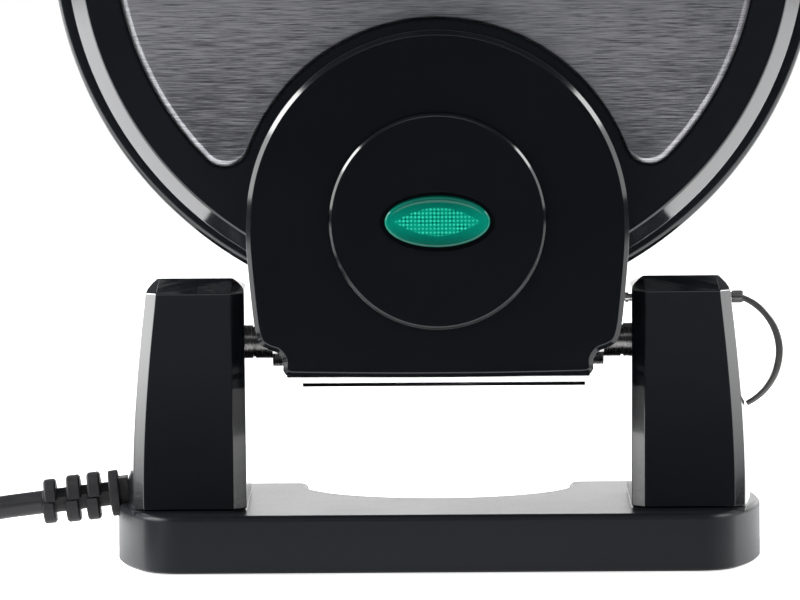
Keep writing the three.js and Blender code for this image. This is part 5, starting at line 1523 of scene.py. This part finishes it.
    def cover(self) -> None:
        """Builds the arched hinge cover, hollow, cut to the housing and opened for shafts and pin."""
        outline = self.cover_outline()
        d, gap, reach = self.cover_depth, self.mid_gap, self.hole_reach
        outside = Solid.slab(outline, [(gap, self.mid_bevel), (gap + self.mid_bevel, 0.0),
                                       *chamfered(d, self.cover_edge)], Plane.FRONT)
        outside.join(self.belly(0.0))
        outside.join(block((self.lip_ends[0], -self.lip_depth, self.lip_low),
                           (self.lip_ends[1], -gap, -self.barrel + 2.0)))
        inside = Solid.slab(outline, [(-OVERRUN, self.cover_wall), (d - self.cover_wall, self.cover_wall)],
                            Plane.FRONT)
        inside.join(self.belly(self.cover_wall / 2))
        tools = [inside, self.housing_cutter(), rod(-reach, reach, self.shaft_hole),
                 rod(-reach, reach, self.pin_hole, (0.0, 0.0, PIN_RISE))]
        if self.is_lid:
            relief = rod(-reach, reach, self.lid_relief, sides=96)
            relief.cut(block((-reach - OVERRUN, -reach, 0.0), (reach + OVERRUN, reach, reach)))
            barrel_half, barrel_radius = self.lid_barrel
            tools += [relief, rod(-barrel_half, barrel_half, barrel_radius, sides=BAR_SIDES)]
        tools.append(rod(d - self.cover_wall / 2, d + OVERRUN, self.boss_radius + STATIC_GAP,
                         (0.0, 0.0, self.arch_z), PLATE_SIDES, outward))
        tools.append(self.lens_plug(self.lens_hole, d - self.cover_wall - OVERRUN, d + OVERRUN))
        outside.cut(*tools)
        self.piece(outside, "hinge_cover_skin", GLOSS, "hinge_cover", crease=28.0)

    def lens_plug(self, grow: float, low: float, high: float) -> Solid:
        """Returns a plug with the outline of the lens's opening, let out by grow."""
        a, b = self.lens_width + grow, self.lens_height + grow
        line = [(a * math.cos(t), self.arch_z + b * math.sin(t)) for t in (math.pi * i / 48 for i in range(96))]
        return Solid.slab(line, [(low, 0.0), (high, 0.0)], Plane.FRONT)

    def boss(self) -> None:
        """Builds the round boss with its chamfered edge and the lens's groove."""
        low = self.cover_depth - self.cover_wall / 2 + STATIC_GAP
        edge = [(self.boss_radius - inset, self.boss_top - drop) for inset, drop in self.boss_edge]
        profile = eased([(0.0, low), (self.boss_radius, low), *edge, (0.0, self.boss_top)],
                        [0.0, 0.0, 0.2, 0.15, 0.2, 0.0], 3)
        disc = Solid.turned(profile, outward, DISC_SIDES).shifted((0.0, 0.0, self.arch_z))
        disc.cut(self.lens_plug(self.lens_groove, low - OVERRUN, self.boss_top + OVERRUN))
        self.piece(disc.rounded(self.boss_round, 2, 60.0), "boss_face", GLOSS, "boss_disc", crease=40.0)

    def lens(self) -> None:
        """Builds the lamp's lens: an oval rim, a groove, and a pointed window that bows out a little."""
        a, b = self.lens_width - self.lens_gap[0], self.lens_height - self.lens_gap[1]

        def ring(width: float, height: float, depth: float, point: float) -> Ring:
            """Returns one ring of the lens, more pointed at its ends as point nears 1."""
            out: Ring = []
            for i in range(self.lens_steps):
                t = 2 * math.pi * i / self.lens_steps
                c, s = math.cos(t), math.sin(t)
                vesica = math.copysign(1 - abs(c) ** WINDOW_POWER, s) if abs(s) > 1e-9 else 0.0
                out.append((width * c, -depth, self.arch_z + height * lerp(s, vesica, point)))
            return out

        rings = [ring(a - in_a, b - in_b, depth, point) for in_a, in_b, depth, point in self.lens_rim]
        rings += [ring(*sizes) for sizes in self.lens_window]
        finish = RED_LENS if self.is_lid else GREEN_LENS
        self.piece(Solid.skinned(rings), "lens", finish, "lamp_lens", crease=60.0)

    def waffle_plate(self) -> None:
        """Builds the cooking plate: a dished casting with tapered posts in four quarters."""
        dish, half = self.plate_dish, (self.post_half, self.post_half)
        foot = [(dish + OVERRUN, 0.0)]
        plate = self.disc(eased(self.plate_profile, self.plate_radii, 4), PLATE_SIDES)
        lines = [(i + 0.5) * self.post_pitch for i in range(-self.post_rows, self.post_rows)]
        for x in lines:
            for z in lines:
                if math.hypot(x, z) < self.post_reach:
                    square = [(a, b + self.disc_z) for a, b in rectangle((x, z), half, self.post_corner, 3)]
                    plate.join(Solid.slab(square, [*foot, (dish, 0.0), *self.post_edge], Plane.FRONT))
        for half in (self.rib_half, self.rib_half[::-1]):
            rib = rectangle((0.0, self.disc_z), half, self.rib_corner, 1)
            plate.join(Solid.slab(rib, [*foot, *self.rib_edge], Plane.FRONT))
        self.piece(plate, "waffle_plate", COATED, "cooking_plate", crease=30.0)

    def handle(self) -> None:
        """Builds the grip: a flat tongue with full edges, notched for the latch."""
        top = self.disc_z + self.rim_radius + self.grip_rise
        low = self.disc_z + self.drum_radius - self.grip_sink
        half, tip, corner = self.grip_half, self.grip_tip, self.grip_corner
        right = [(half, low)]
        p0, p1, p2, p3 = (Vector(p) for p in ((half, low), (half, low + corner * 3),
                                              (tip - corner / 2, top - corner * 3), (tip, top - corner)))
        for s in (i / 20 for i in range(1, 21)):
            t = 1 - s
            right.append(tuple(t ** 3 * p0 + 3 * s * t ** 2 * p1 + 3 * s * s * t * p2 + s ** 3 * p3))
        right += bend(right[-1], (tip, top), (tip - corner, top), 8)
        outline = right + [(-x, z) for x, z in reversed(right)]
        back, front = self.grip_depths
        rise = quarter_round(front, self.grip_edge)
        fall = [(back + front - out, inset) for out, inset in reversed(rise)]
        grip = Solid.slab(outline, [*fall, *rise], Plane.FRONT)
        grip.cut(self.housing_cutter())
        slot, above = self.slot_half, top + self.slot_over
        if self.is_lid:
            low_y, high_y = self.catch_slot
            grip.cut(block((-slot, low_y, top - self.catch_drop), (slot, high_y, above)))
        else:
            low_y, high_y = self.latch_slot
            pivot_z = top - self.latch_drop
            pin_half, pin_radius = self.latch_hole
            grip.cut(block((-slot, low_y, pivot_z - self.latch_room), (slot, high_y, above)))
            grip.cut(rod(-pin_half, pin_half, pin_radius, (0.0, self.latch_y, pivot_z), TINY_SIDES))
        self.piece(grip.rounded(self.grip_round, 2, 50.0), "grip", GLOSS, "handle", crease=30.0)

    def rest_foot(self) -> None:
        """Builds the block that the iron rests on when it lies flat."""
        low, top = self.rest_depths
        outline = rectangle((0.0, self.disc_z + self.rest_rise), self.rest_half, self.rest_corner, 4)
        foot = Solid.slab(outline, [(low, 0.0), *quarter_round(top, self.rest_edge)], Plane.FRONT)
        foot.cut(self.housing_cutter())
        self.piece(foot, "rest_block", GLOSS, "rest_foot", crease=40.0)

    def build(self) -> None:
        """Builds this half's pieces, and dresses the CAD nodes inside it."""
        self.housing()
        self.steel_face()
        self.cover()
        self.boss()
        self.lens()
        self.waffle_plate()
        self.handle()
        self.rest_foot()
        prefix = self.side.value
        for node in ("hinge_bracket", "heating_element", "heat_shield", "bracket_screw_1", "bracket_screw_2"):
            dress(f"{prefix}_{node}", BRIGHT)
        dress(f"{prefix}_thermostat", NICKEL)
        dress(f"{prefix}_lamp", LAMP_GLASS)


@dataclass
class Latch:
    """The latch on the near grip and the pin that it turns on."""

    pivot_y: float = RoundHalf.latch_y
    top: float = RoundHalf.disc_z + RoundHalf.rim_radius + RoundHalf.grip_rise
    pivot_drop: float = RoundHalf.latch_drop
    thick: float = 3.0
    bar_gap: float = 0.8
    hook_y: float = 11.8
    hook_drop: float = 3.4
    half_width: float = 9.0
    corners: tuple[float, ...] = (0.0, 0.0, 0.6, 0.6, 0.3, 0.3, 1.6, 1.6)
    edge: float = 0.35
    open_angle: float = 80.0
    pin_hole: float = 2.1
    pin_radius: float = 2.0
    pin_half: float = 14.6
    pin_edge: float = 0.3

    def build(self) -> None:
        """Builds the latch, open as it is at rest, and its pin."""
        y, z, t, half = self.pivot_y, self.top - self.pivot_drop, self.thick, self.half_width
        bar, hook, low = self.top + self.bar_gap, self.hook_y, self.top - self.hook_drop
        outline = [(y - t / 2, z), (y + t / 2, z), (y + t / 2, bar), (hook, bar), (hook, low), (hook + t, low),
                   (hook + t, bar + t), (y - t / 2, bar + t)]
        arm = Solid.slab(eased(outline, self.corners, 4, True), [(-half, 0.0), (half, 0.0)], Plane.SIDE)
        arm.join(rod(-half, half, t, (0.0, y, z), SMALL_SIDES))
        arm.cut(rod(-half - OVERRUN, half + OVERRUN, self.pin_hole, (0.0, y, z), SMALL_SIDES))
        arm.rounded(self.edge, 2, 40.0)
        shift = Matrix.Translation((0.0, y, z))
        turn = shift @ Matrix.Rotation(math.radians(self.open_angle), 4, "X") @ shift.inverted()
        arm.moved(Matrix.Translation((0.0, 0.0, FLIP_AXIS_Z)) @ turn)
        arm.piece("latch_arm", "latch", GLOSS, "handle_latch")
        end, r, e = self.pin_half, self.pin_radius, self.pin_edge
        pin = Solid.turned([(0.0, -end), (r - e, -end), (r, e - end), (r, end - e), (r - e, end), (0.0, end)],
                           along_x, SMALL_SIDES)
        pin.shifted((0.0, y, z + FLIP_AXIS_Z))
        pin.piece("latch_pivot", "near_half", BRIGHT, "latch_pin")


@dataclass
class MainsLead:
    """The mains lead: strain relief, cord wound up for storage, and plug."""

    radius: float = 3.5
    route: tuple[Point, ...] = (
        (-118.6, 2.0, 17.3), (-121.5, 2.0, 16.95), (-124.5, 2.0, 16.58), (-127.5, 2.0, 16.2),
        (-130.5, 2.0, 15.8), (-134.0, 2.1, 15.15), (-138.0, 2.3, 14.0), (-142.0, 2.7, 12.4),
        (-146.0, 3.2, 10.5), (-150.0, 3.9, 8.6), (-154.0, 4.7, 6.9), (-158.0, 5.6, 5.5),
        (-163.0, 6.9, 4.35), (-168.0, 8.2, 3.8), (-174.0, 9.7, 3.7), (-180.0, 10.9, 3.7),
        (-185.0, 11.5, 3.7), (-188.7, 11.7, 3.7))
    coil_centre: Flat = (-196.0, -32.0)
    coil_mid: float = 38.0
    coil_pitch: float = 7.6
    layer_pitch: float = 7.7
    layer_turns: float = 1.5
    layers: int = 2
    turn_steps: int = 48
    table_gap: float = 0.2
    relief_x: float = -93.1
    relief_length: float = 25.6
    relief_root: float = -6.0
    relief_drop: float = 3.1
    relief_core: float = 3.6
    relief_flange: Flat = (2.4, 5.3)
    relief_radius: float = 6.9
    relief_edge: float = 0.25
    relief_radii: tuple[float, ...] = (0.0, 0.4, 0.0, 0.4, 0.4, 0.3, 0.3, 0.0)
    rib_narrow: float = 0.93
    rib_offset: float = 0.45
    rib_split: float = 0.2
    rib_edge: float = 0.5
    rib_power: float = 0.8
    ribs: tuple[Point, ...] = ((8.3, 12.2, 1.0), (14.3, 18.4, 0.98), (21.6, 25.3, 0.93))
    web_half: Flat = (4.6, 1.2)
    web_short: float = 2.0
    collar_low: Point = (-0.4, -4.4, -4.6)
    collar_high: Point = (2.5, 4.4, 5.2)
    clip_low: Point = (0.2, -1.6, 4.8)
    clip_high: Point = (1.9, 1.6, 6.2)
    plug_tilt: float = 14.6
    neck_lift: float = 6.4 * 0.66
    neck_root: float = 4.2
    neck_radii: Flat = (4.3, 6.2)
    neck_taper: Flat = (1.6, 22.0)
    neck_start: float = 1.2
    neck_ribs: int = 6
    neck_pitch: float = 3.2
    neck_rib: Point = (2.0, 2.4, 3.0)
    neck_groove: float = 0.7
    plug_profile: tuple[Flat, ...] = ((6.3, 21.4), (14.8, 24.0), (18.5, 28.0), (18.5, 46.6), (16.9, 49.0),
                                      (0.0, 49.0))
    plug_radii: tuple[float, ...] = (1.5, 3.0, 3.5, 1.2, 0.8, 0.0)
    groove_count: int = 12
    groove_ends: Flat = (30.0, 44.0)
    groove_radius: float = 1.6
    groove_circle: float = 19.4
    contact_profile: tuple[Flat, ...] = ((0.0, 49.3), (2.4, 49.3), (2.4, 66.4), (1.9, 67.7), (1.0, 68.25),
                                         (0.0, 68.3))
    contact_y: float = 9.5

    def coil_point(self, turns: float) -> Point:
        """Returns the coil's centre line after a number of turns."""
        layer = min(int(turns / self.layer_turns), self.layers - 1)
        within = turns - layer * self.layer_turns
        inward = self.layer_turns - within if layer % 2 else within
        radius = self.coil_mid + self.coil_pitch * self.layer_turns / 2 - self.coil_pitch * inward
        climb = 0.0
        for k in range(1, self.layers):
            share = min(max((turns - k * self.layer_turns) * 2 + 0.5, 0.0), 1.0)
            climb += share * share * (3 - 2 * share) * self.layer_pitch
        angle = math.pi / 2 + turns * 2 * math.pi
        return (self.coil_centre[0] + radius * math.cos(angle), self.coil_centre[1] + radius * math.sin(angle),
                self.radius + self.table_gap + climb)

    def line(self) -> list[Point]:
        """Returns the whole cord's centre line, from the strain relief to the plug."""
        total = self.layer_turns * self.layers
        steps = int(total * self.turn_steps)
        coil = [self.coil_point(total * i / steps) for i in range(steps + 1)]
        end = coil[-1]
        start = (coil[0][0] + 2 * self.radius, coil[0][1], coil[0][2])
        free = spline([*self.route[:-1], start], 3)
        return [*free, *coil, (end[0] - 2 * self.radius, end[1], end[2])]

    def cord(self, pieces: Sequence[Union[str, bpy.types.Object]]) -> None:
        """Args:
            pieces: The pieces that are on it; not used.
        """
        line = self.line()
        section = arc((0.0, 0.0), self.radius, 0.0, 2 * math.pi, 20)[:-1]
        cord = Solid.swept(line, section).piece("mains_lead", "base", JACKET, "mains_cord",
                                                "cord_coil", crease=60.0)
        length = sum((Vector(b) - Vector(a)).length for a, b in zip(line, line[1:]))
        log.info("mains_lead: %.0f mm long", length)
        tuple(c * MM for c in line[0])
        [tuple(c * MM for c in p) for p in line]
        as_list(pieces)

    def relief(self) -> bpy.types.Object:
        """Builds the strain relief: a collar in the tower's foot, a flange, and three ribs split by a web."""
        core, r, root, length = self.relief_core, self.relief_radius, self.relief_root, self.relief_length
        low, high = self.relief_flange
        droop, power = math.atan2(self.relief_drop, length), self.rib_power
        profile = [(0.0, root), (core, root), (core, low), (r, low), (r, high), (core, high), (core, length),
                   (0.0, length)]
        body = Solid.turned(eased(profile, self.relief_radii, 2), along_x, SMALL_SIDES)
        for low, high, share in self.ribs:
            for turn in (1.0, -1.0):
                half = [(r * self.rib_narrow * share * math.copysign(abs(math.cos(t)) ** power, math.cos(t)),
                         turn * (self.rib_split + r * share * math.sin(t) ** power))
                        for t in (math.pi * k / 24 for k in range(25))]
                start, end, edge = low + turn * self.rib_offset, high + turn * self.rib_offset, self.rib_edge
                sections = [(start, edge), (start + edge, 0.0), (end - edge, 0.0), (end, edge)]
                body.join(Solid.slab(half if turn > 0 else half[::-1], sections, Plane.SIDE))
        wide, tall = self.web_half
        body.join(block((OVERRUN, -wide, -tall), (length - self.web_short, wide, tall)))
        body.join(block(self.collar_low, self.collar_high))
        body.join(block(self.clip_low, self.clip_high))
        body.rounded(self.relief_edge, 2, 50.0)
        place = Matrix.Translation((self.relief_x, LEAD_Y, LEAD_Z))
        body.moved(place @ Matrix.Rotation(math.pi - droop, 4, "Y"))
        return body.piece("cord_relief", "base", RUBBER, "strain_relief", crease=40.0)

    def plug(self) -> list[bpy.types.Object]:
        """Builds the round plug with its ribbed neck and two pins.

        Returns:
            The plug's pieces.
        """
        tilt = math.radians(self.plug_tilt)
        end = self.line()[-1]
        stand_off = STATIC_GAP + self.neck_lift * math.sin(tilt)
        place = Matrix.Translation((end[0] - stand_off, end[1], end[2]))
        place = place @ Matrix.Rotation(math.pi + tilt, 4, "Y")
        neck: list[Flat] = [(0.0, 0.0), (self.neck_root, 0.0)]
        before, taper = self.neck_taper
        rib, fall, rise = self.neck_rib
        for k in range(self.neck_ribs):
            x = self.neck_start + k * self.neck_pitch
            r = lerp(*self.neck_radii, (x + before) / taper)
            thin = r - self.neck_groove
            neck += [(r, x), (r, x + rib), (thin, x + fall), (thin, x + rise)]
        eases = [0.0, 0.3, *[0.2] * (4 * self.neck_ribs), *self.plug_radii]
        body = Solid.turned(eased([*neck, *self.plug_profile], eases, 3), along_x, 72)
        for k in range(self.groove_count):
            angle = 2 * math.pi * k / self.groove_count
            y, z = self.groove_circle * math.cos(angle), self.groove_circle * math.sin(angle)
            body.cut(rod(*self.groove_ends, self.groove_radius, (0.0, y, z), 20))
        pieces = [body.moved(place).piece("plug_grip", "base", RUBBER, "plug_body", crease=34.0)]
        for i, side in enumerate((-1.0, 1.0), 1):
            pin = Solid.turned(self.contact_profile, along_x, SMALL_SIDES)
            pin.moved(place @ Matrix.Translation((0.0, self.contact_y * side, 0.0)))
            pieces.append(pin.piece(f"plug_contact_{i}", "base", NICKEL, f"plug_pin_{i}"))
        return pieces

    def build(self) -> None:
        """Builds the lead's pieces."""
        relief = self.relief()
        plug = self.plug()
        self.cord([relief, *plug])


# The studio

@dataclass
class Studio:
    """Camera, floor, background and lights."""

    distance: float = 2.215
    height: float = 0.2424
    pitch: float = 4.26
    yaw: float = 0.2925
    roll: float = -0.0068
    lens: float = 334.9
    sensor: float = 36.0
    clip: Flat = (0.05, 60.0)
    floor_reach: float = 2.4
    dusk: Point = (0.062, 0.067, 0.08)
    fill: Point = (0.22, 0.225, 0.24)
    sweep: Point = (0.85, 0.84, 0.83)
    overhead: Flat = (0.5, 0.9)
    overhead_dim: float = 0.6
    fill_rise: Flat = (0.05, 0.62)
    sweep_depth: Flat = (0.55, 1.0)
    sweep_rise: Flat = (0.12, 0.32)
    sweep_dim: float = 0.9
    lamps: tuple[tuple[str, Point, Point, Flat, float], ...] = (
        ("left_box", (-1.25, 0.0, 0.68), (0.0, 0.0, 0.68), (1.8, 1.0), 40.0),
        ("left_key", (-1.2, 0.0, 0.92), (0.0, 0.0, 0.92), (1.0, 0.5), 26.0),
        ("right_box", (1.25, 0.0, 0.68), (0.0, 0.0, 0.68), (1.6, 1.0), 17.0),
        ("right_key", (1.2, 0.0, 0.92), (0.0, 0.0, 0.92), (1.0, 0.4), 14.0),
        ("back_box", (0.0, 2.6, 0.42), (0.0, 0.0, 0.2), (3.0, 0.5), 19.0),
        ("front_box", (0.0, -2.4, 1.9), (0.0, 0.0, 0.1), (2.4, 0.7), 9.0))

    def camera(self) -> None:
        """Makes the camera, at the photograph's viewing angle."""
        data = bpy.data.cameras.new("camera")
        data.lens = self.lens
        data.sensor_width = self.sensor
        data.clip_start, data.clip_end = self.clip
        camera = bpy.data.objects.new("camera", data)
        turn = (Matrix.Rotation(math.radians(self.yaw), 4, "Z")
                @ Matrix.Rotation(math.radians(90.0 - self.pitch), 4, "X") @ Matrix.Rotation(self.roll, 4, "Z"))
        camera.matrix_world = Matrix.Translation((0.0, -self.distance, self.height)) @ turn
        bpy.context.scene.collection.objects.link(camera)
        bpy.context.scene.camera = camera

    def floor(self) -> None:
        """Makes the plain pale floor, which thins out into the white background."""
        mesh = bpy.data.meshes.new("floor")
        reach = self.floor_reach
        corners = [(-reach, -reach, 0.0), (reach, -reach, 0.0), (reach, reach, 0.0), (-reach, reach, 0.0)]
        mesh.from_pydata(corners, [], [(0, 1, 2, 3)])
        floor = bpy.data.objects.new("floor", mesh)
        bpy.context.scene.collection.objects.link(floor)
        mesh.materials.append(PaleFloor(reach=reach).material())

    def lamp(self, name: str, place: Point, aim: Point, size: Flat, power: float) -> None:
        """Makes a soft rectangular light.

        Args:
            name: Its name.
            place: Where it stands, in metres.
            aim: What it points at.
            size: Its width and height.
            power: Its power in watts.
        """
        data = bpy.data.lights.new(name, "AREA")
        data.shape = "RECTANGLE"
        data.size, data.size_y = size
        data.energy = power
        lamp = bpy.data.objects.new(name, data)
        lamp.location = place
        lamp.rotation_euler = (Vector(aim) - Vector(place)).to_track_quat("-Z", "Y").to_euler()
        lamp.visible_camera = False
        bpy.context.scene.collection.objects.link(lamp)

    def lights(self) -> None:
        """Makes the lamps at the sides, behind and in front, and the background."""
        for row in self.lamps:
            self.lamp(*row)
        self.world()
        scene = bpy.context.scene
        scene.view_settings.view_transform = "Standard"
        scene.view_settings.look = "None"
        scene.view_settings.exposure = 0.0

    def world(self) -> None:
        """Makes the background: white to the camera, and otherwise dark in front and white behind."""
        world = bpy.data.worlds.new("studio")
        bpy.context.scene.world = world
        tree = Tree(world)
        way = tree.node("ShaderNodeTexCoord", {}, {}, "Generated")
        split = tree.node("ShaderNodeSeparateXYZ", {}, {0: way})
        _, depth, height = (Wire(tree, output) for output in split.socket.node.outputs)
        overhead = height.between(*self.overhead)
        behind = depth.between(*self.sweep_depth) * (1.0 - height.between(*self.sweep_rise) * self.sweep_dim)
        lift = height.between(*self.fill_rise) * (1.0 - overhead * self.overhead_dim)
        front = tree.blend(lift, self.dusk, self.fill)
        grey = tree.blend(behind, front, self.sweep)
        seen = tree.node("ShaderNodeLightPath", {}, {}, "Is Camera Ray")
        colour = tree.blend(seen, grey, (1.0, 1.0, 1.0))
        tree.finish(tree.node("ShaderNodeBackground", {}, {"Color": colour}), "ShaderNodeOutputWorld")

    def build(self) -> None:
        """Makes the floor and the lights; the camera comes before the pieces."""
        self.floor()
        self.lights()


def main() -> None:
    """Builds the scene: camera and cord first, then each sub-assembly."""
    logging.basicConfig(level=logging.INFO, format="%(message)s")
    studio = Studio()
    studio.camera()
    MainsLead().build()
    Base().build()
    Towers().build()
    Pivot().build()
    RoundHalf(Side.NEAR).build()
    RoundHalf(Side.FAR).build()
    Latch().build()
    studio.build()


if __name__ == "__main__":
    main()
